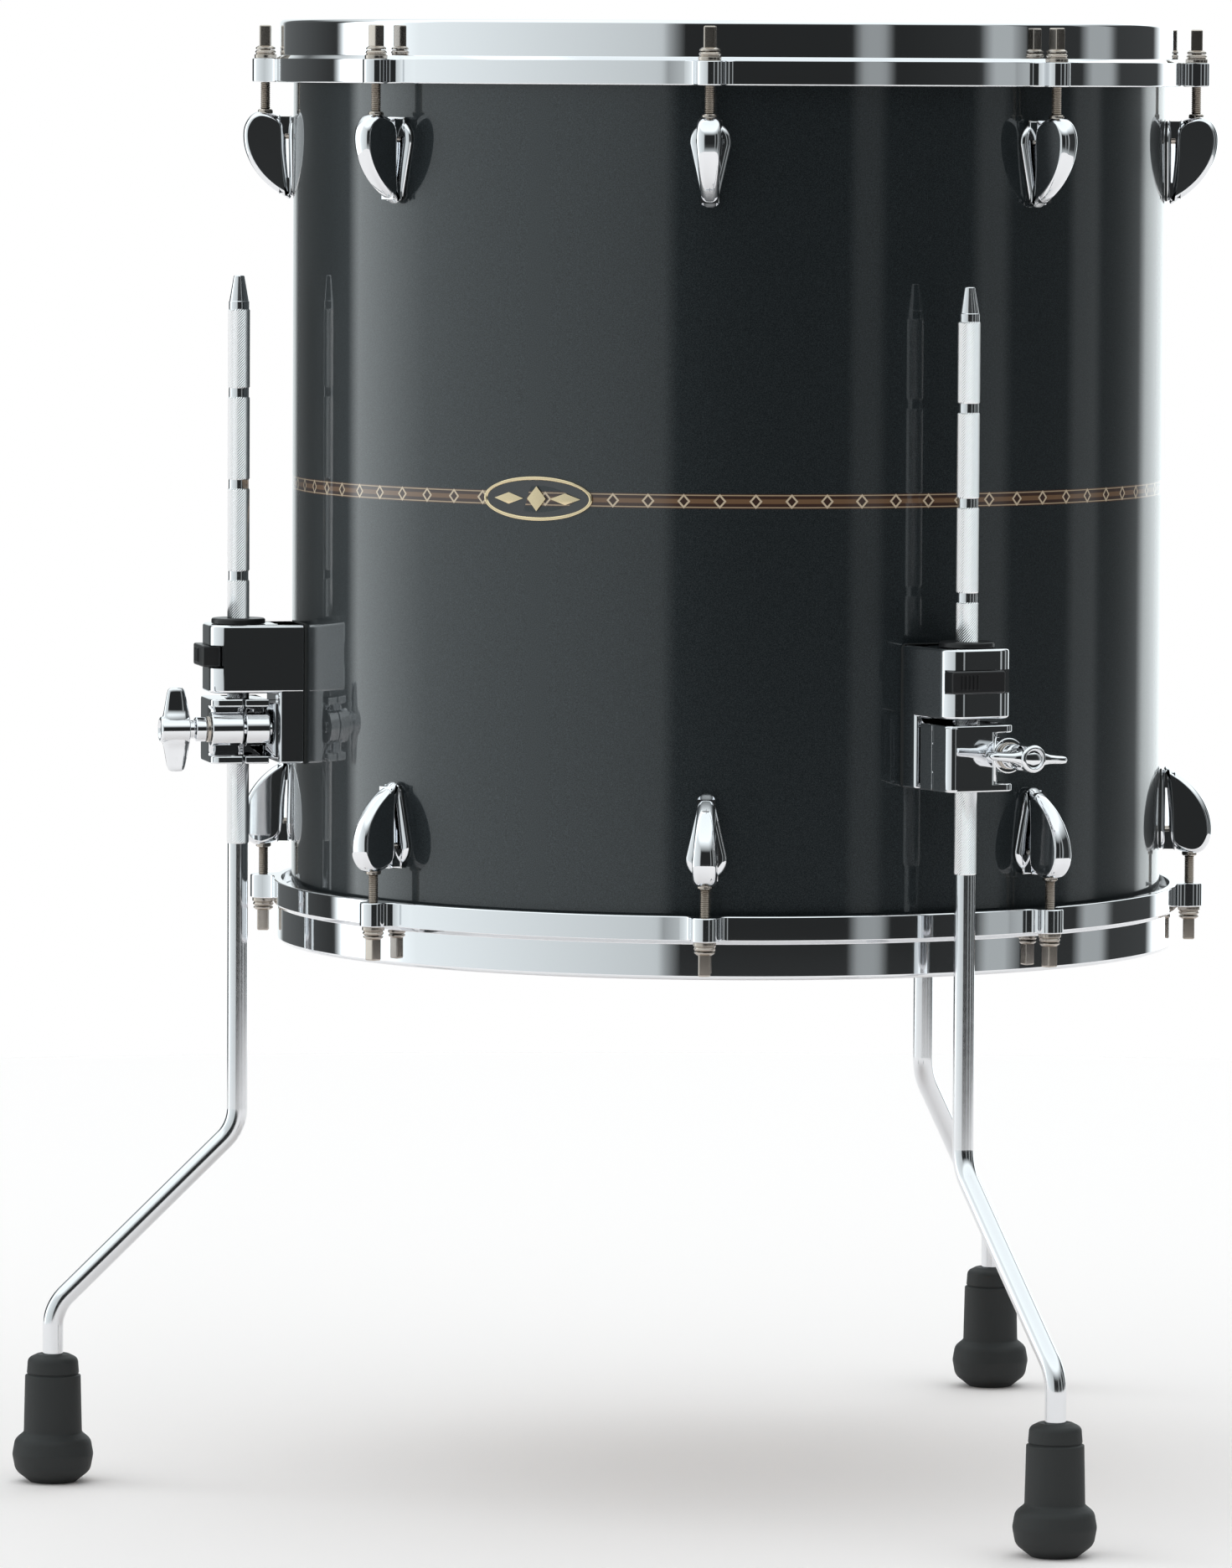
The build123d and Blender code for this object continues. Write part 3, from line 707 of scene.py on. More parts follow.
class RingOfCopies(NodeTree):
    """Copies of one part at even steps round the drum's axis."""

    def __init__(self) -> None:
        """Build the tree."""
        super().__init__(
            "ring of copies",
            [
                ("Part", "NodeSocketObject"),
                ("Copies", "NodeSocketInt"),
                ("First turn", "NodeSocketFloat"),
                ("Axis", "NodeSocketVector"),
                ("Finish", "NodeSocketMaterial"),
            ],
        )
        points = self.add("GeometryNodePoints")
        self.take("Copies", points.inputs["Count"])
        self.take("Axis", points.inputs["Position"])
        part = self.add("GeometryNodeObjectInfo")
        part.inputs["As Instance"].default_value = True
        self.take("Part", part.inputs["Object"])
        index = self.add("GeometryNodeInputIndex")
        step = self.math("DIVIDE", TURN, "Copies")
        turn = self.math("MULTIPLY_ADD", index.outputs[0], step, "First turn")
        spin = self.add("ShaderNodeCombineXYZ")
        self.join(turn, spin.inputs["Z"])
        copies = self.add("GeometryNodeInstanceOnPoints")
        self.join(points.outputs[0], copies.inputs["Points"])
        self.join(part.outputs["Geometry"], copies.inputs["Instance"])
        self.join(spin.outputs[0], copies.inputs["Rotation"])
        self.close(copies.outputs[0])

    def place(
        self, name: str, part: Shape, finish: Finish, axis: DrumAxis, copies: int, first: float
    ) -> bpy.types.Object:
        """Set copies of a part, drawn in station coordinates, round the drum.

        Args:
            name: the name of the object to make.
            part: the part to copy.
            finish: the copies' finish.
            axis: the drum's axis.
            copies: how many copies there are.
            first: the first copy's bearing in degrees.

        Returns:
            An object that holds all the copies.
        """
        pattern = settle(part.object("pattern", [finish]))
        values = {
            "Part": pattern,
            "Copies": copies,
            "First turn": radians(first - 90),
            "Axis": (0, axis.y * METRE, 0),
            "Finish": finish.material(),
        }
        made = self.run(name, values)
        bpy.data.objects.remove(pattern)
        return made


class KnurlSleeve(NodeTree):
    """A sleeve of diamond knurling: a rolled grid whose points stand proud by turns."""

    def __init__(self) -> None:
        """Build the tree."""
        super().__init__(
            "knurl sleeve",
            [
                ("Columns", "NodeSocketInt"),
                ("Rows", "NodeSocketInt"),
                ("Root radius", "NodeSocketFloat"),
                ("Depth", "NodeSocketFloat"),
                ("Low", "NodeSocketFloat"),
                ("High", "NodeSocketFloat"),
                ("Core radius", "NodeSocketFloat"),
                ("Finish", "NodeSocketMaterial"),
            ],
        )
        grid = self.add("GeometryNodeMeshGrid")
        grid.inputs["Size X"].default_value = 1
        grid.inputs["Size Y"].default_value = 1
        self.join(self.math("ADD", "Columns", 1), grid.inputs["Vertices X"])
        self.join(self.math("ADD", "Rows", 1), grid.inputs["Vertices Y"])
        split = self.add("ShaderNodeSeparateXYZ")
        self.join(self.add("GeometryNodeInputPosition").outputs[0], split.inputs[0])
        column, row = (
            self.math("ROUND", self.math("MULTIPLY", self.math("ADD", split.outputs[way], 0.5), steps))
            for way, steps in (("X", "Columns"), ("Y", "Rows"))
        )
        proud = self.math("FLOORED_MODULO", self.math("ADD", column, row), 2)
        radius = self.math("MULTIPLY_ADD", proud, "Depth", "Root radius")
        past_first = self.math("GREATER_THAN", row, 0.5)
        before_last = self.math("LESS_THAN", row, self.math("SUBTRACT", "Rows", 0.5))
        inner = self.math("MULTIPLY", past_first, before_last)
        depth = self.math("SUBTRACT", radius, "Core radius")
        wall = self.math("ADD", self.math("MULTIPLY", depth, inner), "Core radius")
        angle = self.math("DIVIDE", self.math("MULTIPLY", column, TURN), "Columns")
        share = self.math("DIVIDE", row, "Rows")
        height = self.math("MULTIPLY_ADD", share, self.math("SUBTRACT", "High", "Low"), "Low")
        place = self.add("ShaderNodeCombineXYZ")
        self.join(self.math("MULTIPLY", wall, self.math("COSINE", angle)), place.inputs["X"])
        self.join(self.math("MULTIPLY", wall, self.math("SINE", angle)), place.inputs["Y"])
        self.join(height, place.inputs["Z"])
        move = self.add("GeometryNodeSetPosition")
        self.join(grid.outputs["Mesh"], move.inputs["Geometry"])
        self.join(place.outputs[0], move.inputs["Position"])
        seam = self.add("GeometryNodeMergeByDistance")
        seam.inputs["Distance"].default_value = SEAM_DISTANCE
        self.join(move.outputs[0], seam.inputs["Geometry"])
        self.close(seam.outputs[0])


# ---------------------------------------------------------------- finishes of this drum

CHROME = Finish("bright chrome", (0.84, 0.85, 0.87), 1.0, 0.045)
LEG_CHROME = Finish("leg chrome", (0.8, 0.81, 0.83), 1.0, 0.13, grain=0.05, grain_scale=400)
KNURL_CHROME = Finish("knurled chrome", (0.86, 0.87, 0.88), 1.0, 0.24)
STEEL = Finish("warm nickel", (0.5, 0.45, 0.4), 1.0, 0.22)
THREAD_STEEL = Finish("thread steel", (0.3, 0.26, 0.22), 1.0, 0.36)
ALUMINIUM = Finish("brushed aluminium", (0.75, 0.76, 0.77), 1.0, 0.3, grain=0.15)
LACQUER = FlakeLacquer("flake lacquer", (0.006, 0.0095, 0.0115), 0.6, 0.4, 1.0, flake=(0.042, 0.054, 0.06))
MAPLE = PlyWood("maple veneer", (0.66, 0.46, 0.26), roughness=0.5)
COATED = CoatedFilm("coated film", (0.7, 0.7, 0.68), roughness=0.62)
CLEAR = ClearFilm("clear film", (0.95, 0.97, 0.98), roughness=0.06)
RUBBER = MouldedRubber("moulded rubber", (0.026, 0.028, 0.028), roughness=0.62, specular=0.35)
PLASTIC = Finish("black nylon", (0.012, 0.012, 0.013), 0.0, 0.34, specular=0.45)
GOLD = Finish("pale gold plate", (0.75, 0.62, 0.4), 1.0, 0.2)
ENAMEL = Finish("dark enamel", (0.02, 0.022, 0.025), 0.0, 0.15, coat=1.0)


def enter(piece: bpy.types.Object, body: str, slot: Slot, *nodes: str) -> bpy.types.Object:
    """Hand a finished piece to the frame.

    Args:
        piece: the piece.
        body: the CAD body that it rides on.
        slot: the record's material slot; not used.
        nodes: the CAD nodes that it stands for.

    Returns:
        The piece.
    """
    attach(piece, body)
    if nodes:
        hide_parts(*nodes)
    LOG.info("%s: %d faces on %s", piece.name, len(piece.data.polygons), body)
    return piece


# ---------------------------------------------------------------- shell


@dataclass
class ShellAssembly:
    """The lacquered shell with its inlay, badge and air vent."""

    axis: DrumAxis
    radius: float = SHELL_RADIUS
    wall: float = 6.5
    low: float = 259.3
    high: float = SHELL_HIGH
    edge_round: float = 2.0
    edge_bevel: float = 3.3
    inlay_height: float = 6.8
    inlay_depth: float = 0.6
    badge_size: tuple[float, float] = (54.0, 20.0)
    badge_rim: float = 1.4
    badge_field: float = 0.55
    badge_lozenges: tuple[Corner, ...] = ((0, 4.6, 5.6), (-14, 7.4, 2.6), (14, 7.4, 2.6))
    vent_bearing: float = 135.0
    vent_height: float = 420.0
    segments: int = 320

    @property
    def middle(self) -> float:
        """Return the height of the shell's middle."""
        return (self.low + self.high) / 2

    def build(self) -> None:
        """Build the shell and all that is set in it."""
        self.build_wall()
        self.build_inlay()
        self.build_badge()
        self.build_vent()

    def build_wall(self) -> None:
        """Turn the shell, with its inlay groove, and bore its air vent."""
        bore, half = self.radius - self.wall, self.inlay_height / 2
        floor = self.radius - self.inlay_depth
        corners = [
            (bore, self.low + self.edge_bevel, 0.4),
            (bore + self.edge_bevel, self.low, 0.4),
            (self.radius, self.low, self.edge_round),
            (self.radius, self.middle - half, 0),
            (floor, self.middle - half, 0),
            (floor, self.middle + half, 0),
            (self.radius, self.middle + half, 0),
            (self.radius, self.high, self.edge_round),
            (bore + self.edge_bevel, self.high, 0.4),
            (bore, self.high - self.edge_bevel, 0.4),
        ]
        profile = rounded(corners)
        outside = bore + self.edge_bevel + 0.2
        nexts = profile[1:] + profile[:1]
        coats = [0 if min(r, after) > outside else 1 for (r, _), (after, _) in zip(profile, nexts)]
        wall = Shape().lathe(profile, self.segments, coats).moved(self.axis.station(0))
        shell = wall.object("lacquered_shell", [LACQUER, MAPLE], 30)
        drill = Shape().pillow(circle(6.2), bore - 5, self.radius + 5, 0.1, 1)
        carve(shell, drill.moved(self.vent_place()))
        enter(settle(shell, 30), "drum", Slot.LACQUER, "shell")

    def build_inlay(self) -> None:
        """Turn the ribbon of wood that lies flush in the shell."""
        half = self.inlay_height / 2
        floor = self.radius - self.inlay_depth
        low, high = self.middle - half, self.middle + half
        profile = [(floor, low), (self.radius, low), (self.radius, high), (floor, high)]
        ribbon = InlayRibbon(
            "inlay ribbon", (0.1, 0.05, 0.03), roughness=0.35, coat=1.0,
            axis=(0.0, self.axis.y * METRE), middle=self.middle * METRE, half_height=half * METRE,
        )
        made = Shape().lathe(profile, self.segments).moved(self.axis.station(0))
        made = made.object("inlay_ribbon", [ribbon])
        enter(made, "drum", Slot.INLAY, "inlay_band")

    def build_badge(self) -> None:
        """Build a plain oval badge: a raised rim, an enamel field and three lozenges."""
        width, height = self.badge_size
        rim = [(1.0, 0.0), (1.0, 0.7), (0.985, 1.0), (0.96, 1.1), (0.92, 1.1), (0.9, 0.98)]
        field_step = (0.88, self.badge_field)
        plate = Shape()
        rings = []
        for scale, rise in [*rim, field_step]:
            narrowing = (1 - scale) * self.badge_rim
            across, up = (width - narrowing * height) / 2, height / 2 * (1 - narrowing)
            rings.append([(across * cos(a), up * sin(a), rise) for a in self.badge_turns()])
        plate.loft(rings)
        for index, face in enumerate(plate.faces):
            rises = [plate.points[corner].z for corner in face]
            plate.coats[index] = int(all(abs(rise - self.badge_field) < 0.01 for rise in rises))
        for place, half_wide, half_tall in self.badge_lozenges:
            corners = [(half_wide, 0), (0, half_tall), (-half_wide, 0), (0, -half_tall)]
            base, top = (
                [(place + x * share, y * share) for x, y in corners] for share in (1.0, 0.6)
            )
            plate.loft([[(x, y, z) for x, y in flat] for flat, z in ((base, 0.5), (base, 0.8), (top, 1.05))])
        curved = wrap(plate, self.radius, 0.02).moved(self.axis.station(0) @ shifted(z=self.middle))
        made = curved.object("badge_plate", [GOLD, ENAMEL], 40)
        enter(made, "drum", Slot.BADGE, "badge")

    @staticmethod
    def badge_turns() -> list[float]:
        """Return the turns of the points round the badge's oval."""
        return [TURN * step / 96 for step in range(96)]

    def vent_place(self) -> Matrix:
        """Return the matrix that sets a shape's z outwards along the air vent."""
        return self.axis.station(self.vent_bearing) @ shifted(z=self.vent_height) @ OUTWARD

    def build_vent(self) -> None:
        """Turn the metal eyelet of the air vent."""
        bore = self.radius - self.wall
        corners = [
            (5.0, bore - 2.0, 0), (8.0, bore - 2.0, 0.6), (8.0, bore - 0.7, 0), (6.1, bore - 0.7, 0),
            (6.1, self.radius + 0.2, 0), (8.0, self.radius + 0.2, 0),
            (8.0, self.radius + 1.6, 1.1), (5.0, self.radius + 1.6, 0.8),
        ]
        eyelet = Shape().lathe(rounded(corners)).moved(self.vent_place())
        eyelet = eyelet.object("vent_eyelet", [CHROME])
        enter(settle(eyelet), "drum", Slot.CHROME, "vent_grommet")


# ---------------------------------------------------------------- heads, hoops and tension rods


@dataclass
class EndAssembly:
    """One end of the drum: its head, hoop, washers, tension rods and lugs.

    It is drawn as the batter end, and the resonant end is its mirror image.
    """

    axis: DrumAxis
    end: End
    copies: RingOfCopies
    shell_radius: float = SHELL_RADIUS
    shell_high: float = SHELL_HIGH
    middle: float = 462.5
    film: float = 0.3
    skirt: float = 4.5
    rim_top: float = 677.0
    rim_radius: float = 209.5
    flange_radius: float = 211.4
    flange_height: float = 11.0
    hoop_height: float = 29.0
    bore: float = 204.6
    flesh_radius: float = 208.0
    rod_circle: float = 217.1
    ear_radius: float = 6.2
    flare: float = 5.7
    count: int = 8
    first: float = 22.5
    rod_radius: float = 2.3
    rod_low: float = 616.0
    lug_high: float = 634.5
    lug_low: float = 593.0

    @property
    def collar(self) -> float:
        """Return the height that the rod's collar sits at."""
        return self.rim_top - self.hoop_height + self.flange_height + 4.3

    def put(self, shape: Shape) -> Shape:
        """Return a shape in this end's own place, mirrored for the resonant end."""
        return shape if self.end is End.BATTER else shape.mirrored(self.middle)

    def name(self, piece: str) -> str:
        """Return a piece's name at this end."""
        return f"{self.end.value}_{piece}"

    def build(self) -> None:
        """Build everything at this end."""
        self.build_head()
        self.build_hoop()
        self.build_rods()
        self.build_washers()
        self.build_lugs()

    def build_head(self) -> None:
        """Turn the film, with its collar over the shell's edge."""
        edge, film = self.shell_radius + self.film, self.film
        top, skirt = self.shell_high, self.shell_high - self.skirt
        outer = rounded([(0, top + film, 0), (edge + film, top + film, 2.3), (edge + film, skirt, 0)], False)
        inner = rounded([(edge, skirt, 0), (edge, top, 2.0), (0, top, 0)], False)
        head = Shape().lathe(outer + inner, 160)
        on_top = self.end is End.BATTER
        finish, slot = (COATED, Slot.COATED_FILM) if on_top else (CLEAR, Slot.CLEAR_FILM)
        head = self.put(head).moved(self.axis.station(0))
        made = head.object(self.name("film"), [finish], 50)
        enter(made, "drum", slot, self.name("head"))

    def ear_edge(self, offset: float) -> float:
        """Return how far out the flange's edge lies, at an offset from the middle of an ear."""
        reach = abs(offset)
        if reach < self.ear_radius:
            return self.rod_circle + sqrt(self.ear_radius**2 - reach**2)
        if reach < self.ear_radius + self.flare:
            return self.rod_circle - sqrt(self.flare**2 - (self.ear_radius + self.flare - reach) ** 2)
        return self.flange_radius

    def hoop_turns(self) -> list[tuple[float, float]]:
        """Return turns round the hoop, in radians, with the offset of each from its nearest ear."""
        nose = [self.ear_radius * sin(radians(a)) for a in range(-90, 91, 15)]
        side = [self.ear_radius + self.flare * (1 - cos(radians(a))) + 0.01 for a in range(0, 91, 18)]
        offsets = sorted(nose + side + [-s for s in side])
        turns = []
        span = TURN / self.count
        ear = offsets[-1] / self.rod_circle
        for index in range(self.count):
            middle = span * index
            turns += [(middle + asin(offset / self.rod_circle), offset) for offset in offsets]
            plain = 20
            gap = (span - 2 * ear) / plain
            turns += [(middle + ear + gap * step, 99.0) for step in range(1, plain)]
        return turns

    def build_hoop(self) -> None:
        """Loft the cast hoop: a plain rim, a step, and a flange with an ear for each rod."""
        step_top, foot = self.rim_top - 16.4, self.rim_top - self.hoop_height
        ledge, seat = foot + self.flange_height, self.shell_high - self.skirt
        rings = []
        for turn, offset in self.hoop_turns():
            edge = self.ear_edge(offset)
            shoulder = min(edge, self.flange_radius)
            on_ear = edge > shoulder + 0.3
            nose = [(edge, ledge, 0.5), (shoulder, ledge, 0.02)]
            plain = [(edge, ledge - 0.25, 0.1), (edge - 0.05, ledge, 0.02)]
            inner = [(self.bore, seat, 0), (self.flesh_radius, seat, 0), (self.flesh_radius, foot, 0)]
            rim = [
                (self.rim_radius, step_top, 0.5), (self.rim_radius, self.rim_top, 2.0),
                (self.bore, self.rim_top, 2.0),
            ]
            profile = rounded([*inner, (edge, foot, 0.8), *(nose if on_ear else plain), *rim], steps=4)
            rings.append([(r * cos(turn), r * sin(turn), z) for r, z in profile])
        hoop = self.put(Shape().loft(rings, closed=True)).moved(self.axis.station(self.first))
        made = settle(hoop.object(self.name("rim"), [CHROME], 38), 38)
        enter(made, "drum", Slot.CHROME, self.name("hoop"))

    def rod(self) -> Shape:
        """Draw one tension rod: a threaded shank, a collar and a square head."""
        pitch, crest, root = 0.95, self.rod_radius, self.rod_radius - 0.35
        threads = int((self.collar - self.rod_low - 4) / pitch)
        profile: Outline = [(0, self.rod_low), (root - 0.2, self.rod_low)]
        for turn in range(threads):
            base = self.rod_low + 0.5 + turn * pitch
            profile += [(root, base), (crest, base + pitch / 2)]
        profile += [(crest, self.rod_low + 1 + threads * pitch), (crest, self.collar), (0, self.collar)]
        shank = Shape().lathe(profile, 14)
        shank.coats = [1] * len(shank.faces)
        base = self.collar
        collar = [
            (0, base, 0), (4.7, base, 0.3), (4.55, base + 0.8, 0.3), (3.4, base + 1.6, 0.2), (0, base + 1.6, 0),
        ]
        half, corner = 2.7, 0.7
        square = rounded(
            [(half, half, corner), (-half, half, corner), (-half, -half, corner), (half, -half, corner)], steps=3
        )
        shank.add(Shape().lathe(rounded(collar, steps=2), 28))
        return shank.add(Shape().pillow(square, base + 1.0, self.rim_top - 2.5, 0.7, 3))

    def build_rods(self) -> None:
        """Set a tension rod in each ear, on its own body."""
        rod = self.put(self.rod())
        for index in range(self.count):
            bearing = self.first + index * 360 / self.count
            node = self.name(f"tension_rod_{index + 1}")
            placed = rod.moved(self.axis.nearby(self.rod_circle, bearing))
            made = placed.object(self.name(f"rod_{index + 1}"), [STEEL, THREAD_STEEL], 40)
            enter(settle(made, 40), f"{node}_body", Slot.STEEL, node)

    def ring(self, name: str, part: Shape, finish: Finish) -> bpy.types.Object:
        """Set copies of a part at every lug's bearing."""
        part = self.put(part)
        return self.copies.place(self.name(name), part, finish, self.axis, self.count, self.first)

    def build_washers(self) -> None:
        """Set the two stacked washers on each ear."""
        top = self.collar
        corners = [
            (2.7, top - 4.3, 0), (5.2, top - 4.3, 0.4), (5.2, top - 2.6, 0.3), (4.4, top - 2.1, 0.15),
            (5.0, top - 1.2, 0.4), (4.2, top - 0.3, 0.2), (2.7, top - 0.3, 0),
        ]
        washer = Shape().lathe(rounded(corners, steps=3), 32).moved(shifted(self.rod_circle))
        enter(self.ring("rod_washers", washer, STEEL), "drum", Slot.STEEL)

    def lug(self) -> Shape:
        """Draw one lug in a station: half a heart from the side, on a leaf-shaped foot."""
        high, base = self.lug_high, self.shell_radius
        knots = [
            (4.3, 8.0), (6.4, 3.4), (11.0, 0.9), (16.0, 0.1), (20.4, 1.9), (23.4, 6.4),
            (24.2, 11.6), (23.3, 18.0), (20.6, 24.6), (16.2, 30.8), (10.8, 35.8), (5.6, 39.2),
            (2.7, 40.9), (1.7, 39.0), (2.9, 32.0), (3.9, 20.0),
        ]
        side = [(base + out, high - down) for out, down in through(list(reversed(knots)), 4)]
        turns = [(0.0, 0.0), (0.34, 0.05), (0.52, 0.3), (0.68, 0.75), (0.82, 1.4), (0.93, 2.2), (1.0, 3.1)]
        rings = []
        for share, depth in [(-s, d) for s, d in reversed(turns[1:])] + turns:
            row = []
            for (x, z), (_, down) in zip(inset(side, depth * 0.8), side):
                fall = min(max(0.0, (high - down - 12) / 29.5), 1.0)
                row.append((x, share * (5.4 - 1.8 * fall), z))
            rings.append(row)
        body = Shape().loft(rings)
        foot_high, foot_low = high - 11.6, self.lug_low + 5.6
        lean, wide_end, narrow_end = 0.19, 9.1, 3.8
        upper = [pi * n / 24 - lean for n in range(27)]
        lower = [pi + lean + (pi - 2 * lean) * n / 14 for n in range(15)]
        foot: Outline = [(wide_end * cos(a), foot_high + wide_end * sin(a)) for a in upper]
        foot += [(narrow_end * cos(a), foot_low + narrow_end * sin(a)) for a in lower]
        swell = [(0.6, 0.15), (0.8, 0.0), (1.2, 0.1), (1.8, 0.7), (2.3, 1.7), (2.6, 3.0)]
        leaf = Shape().loft([[(x, y, out) for x, y in inset(foot, depth)] for out, depth in swell])
        body.add(wrap(leaf, base))
        for low, tall, wide in ((high - 10.5, 8.0, 4.4), (self.lug_low + 3.5, 7.0, 3.2)):
            bridge = [(wide, low), (wide, low + tall), (-wide, low + tall), (-wide, low)]
            body.add(Shape().pillow(list(reversed(bridge)), 1.4, 7.0, 0.8, 3).moved(shifted(base) @ OUTWARD))
        return body

    def build_lugs(self) -> None:
        """Set the lugs on the shell."""
        enter(self.ring("lug_castings", self.lug(), CHROME), "drum", Slot.CHROME, self.name("lugs"))


# ---------------------------------------------------------------- leg brackets


@dataclass
class LegMount:
    """The bracket on the shell for one leg: block, lower clamp, jaw, bush, lock slider and wing bolt."""

    axis: DrumAxis
    side: Side
    shell_radius: float = SHELL_RADIUS
    leg_reach: float = LEG_REACH
    width: float = 34.0
    high: float = 398.0
    low: float = 334.0
    block_low: float = 366.5
    clamp_high: float = 363.8
    nose: float = 247.0
    nose_round: float = 9.0
    spine: float = 215.5
    clamp_gap: float = 1.1
    clamp_back: float = 11.7
    plate: float = 3.5
    core_right: float = 9.0
    pin_offset: float = -12.5
    knuckle: float = 4.5
    knuckle_height: float = 8.3
    bolt_offset: float = 13.5
    bolt_height: float = 350.0
    boss: float = 8.0
    knurl_radius: float = 5.1
    bush_bore: float = 8.05
    slider_middle: float = 383.3
    slider_height: float = 10.1
    wing_high: float = 39.0

    def label(self, piece: str) -> str:
        """Return a piece's name at this leg."""
        return f"{piece}_{self.side.label}"

    def place(self, shape: Shape) -> Shape:
        """Return a shape at this leg's bearing."""
        return shape.moved(self.axis.station(self.side.bearing))

    def finish(self, shape: Shape, name: str, finish: Finish, body: str, slot: Slot, node: str) -> None:
        """Make a shape a piece at this leg and hand it to the frame.

        Args:
            shape: the shape, in the leg's station.
            name: the piece's name, without the leg's.
            finish: the piece's finish.
            body: the body that it rides on, without the leg's name.
            slot: the record's material slot.
            node: the CAD node that it stands for, without the leg's name.
        """
        made = settle(self.place(shape).object(self.label(name), [finish]))
        enter(made, self.label(body), slot, self.label(node))

    def build(self) -> None:
        """Build every piece of the mount."""
        self.build_bracket()
        self.build_jaw()
        self.build_bush()
        self.build_slider()
        self.build_wing()

    def slab(self, near: float, far: float, left: float, right: float, corner: float) -> Outline:
        """Draw a plan outline from a near to a far reach, with its far corners rounded."""
        return rounded([(near, left, 0.4), (far, left, corner), (far, right, corner), (near, right, 0.4)], steps=8)

    def clamp_half(self, near: float, far: float, corner: float) -> Shape:
        """Draw one half of the lower clamp: two plates, a core and the bolt's boss."""
        half = self.width / 2
        plates = self.slab(near, far, -half, half, corner)
        core = self.slab(near, far - 0.05, -half + 0.05, self.core_right, min(corner, 4))
        shape = Shape().pillow(plates, self.low, self.low + self.plate, 0.7)
        shape.add(Shape().pillow(plates, self.clamp_high - self.plate, self.clamp_high, 0.7))
        shape.add(Shape().pillow(core, self.low + 1, self.clamp_high - 1, 0.3, 2))
        boss = Shape().pillow(circle(self.boss, count=40), near, far, 0.7).moved(OUTWARD)
        return shape.add(boss.moved(shifted(0, self.bolt_offset, self.bolt_height)))

    def build_bracket(self) -> None:
        """Cast the block and the fixed half of the clamp, and cut the slot for the lock slider."""
        half = self.width / 2
        seat = self.shell_radius + 0.6
        plan = self.slab(seat, self.nose, -half, half, self.nose_round)
        block = Shape().pillow(plan, self.block_low, self.high, 1.4)
        casting = self.place(block).object(self.label("bracket_casting"), [CHROME])
        floor = self.leg_reach + 9.6
        tall, past = self.slider_height / 2 + 0.3, 40
        mouth = [(floor, -past), (floor + past, -past), (floor + past, past), (floor, past)]
        self.cut_through(casting, mouth, self.slider_middle - tall, self.slider_middle + tall)
        bore = circle(self.bush_bore, (self.leg_reach, 0), 40)
        self.cut_through(casting, bore, self.block_low - 5, self.high + 5)
        plan = self.slab(seat, self.spine, 0.08 - half, half - 0.08, 2.0)
        spine = Shape().pillow(plan, self.low, self.high - 0.6, 0.8)
        neck = self.slab(self.spine - 4, self.leg_reach - self.clamp_back + 2, -12, 12, 0.5)
        spine.add(Shape().pillow(neck, self.low + 2, self.clamp_high - 2, 0.5))
        fixed = self.clamp_half(self.leg_reach - self.clamp_back, self.leg_reach - self.clamp_gap / 2, 0.5)
        spine.add(fixed)
        for low in (self.low, self.clamp_high - self.knuckle_height):
            spine.add(Shape().pillow(self.knuckle_plan(), low, low + self.knuckle_height, 0.5))
        lower = self.place(spine).object("lower", [CHROME])
        mesh = bmesh.new()
        mesh.from_mesh(casting.data)
        mesh.from_mesh(lower.data)
        mesh.to_mesh(casting.data)
        mesh.free()
        bpy.data.objects.remove(lower)
        self.bore_for_leg(casting)
        enter(settle(casting), "drum", Slot.CHROME, self.label("leg_bracket"))

    def knuckle_plan(self) -> Outline:
        """Draw the plan of the hinge's knuckles."""
        return circle(self.knuckle, (self.leg_reach, self.pin_offset), 28)

    def cut_through(
        self, casting: bpy.types.Object, plan: Outline, low: float, high: float, melt: bool = False
    ) -> None:
        """Cut an upright prism out of a casting at this leg."""
        carve(casting, self.place(Shape().pillow(plan, low, high, 0.01, 1)), melt)

    def bore_for_leg(self, casting: bpy.types.Object) -> None:
        """Make a clamp's casting one solid, and bore it for the leg."""
        plan = circle(self.knurl_radius + 0.05, (self.leg_reach, 0), 40)
        self.cut_through(casting, plan, self.low - 5, self.block_low + 1, melt=True)

    def build_jaw(self) -> None:
        """Build the swinging half of the clamp, with its knuckle."""
        jaw = self.clamp_half(self.leg_reach + self.clamp_gap / 2, self.nose, 5.0)
        low, high = self.low + self.knuckle_height + 0.4, self.clamp_high - self.knuckle_height - 0.4
        jaw.add(Shape().pillow(self.knuckle_plan(), low, high, 0.4))
        casting = self.place(jaw).object(self.label("jaw_casting"), [CHROME])
        self.bore_for_leg(casting)
        enter(settle(casting), self.label("jaw"), Slot.CHROME, self.label("clamp_jaw"))

    def build_bush(self) -> None:
        """Turn the nylon bush that guides the leg."""
        inner = self.knurl_radius + 0.05
        foot, flange, top = 367.5, 398.2, 400.7
        corners = [
            (inner, foot, 0), (8.0, foot, 0.5), (8.0, flange, 0), (12.5, flange, 0.3),
            (12.5, top, 1.0), (inner, top, 0.6),
        ]
        bush = Shape().lathe(rounded(corners)).moved(shifted(self.leg_reach))
        self.finish(bush, "guide_bush", PLASTIC, "bush", Slot.PLASTIC, "leg_bush")

    def build_slider(self) -> None:
        """Build the lock slider, with a row of plain grip ribs."""
        middle, near, far = self.slider_middle, self.leg_reach + 9.9, self.leg_reach + 18.7
        tall = self.slider_height / 2

        def bar(left: float, right: float, reach: float, corner: float, steps: int = 5) -> Outline:
            """Draw an upright bar's face, to a reach above and below the slider's middle."""
            low, high = middle - reach, middle + reach
            corners = [(left, low, corner), (right, low, corner), (right, high, corner), (left, high, corner)]
            return rounded(corners, steps=steps)

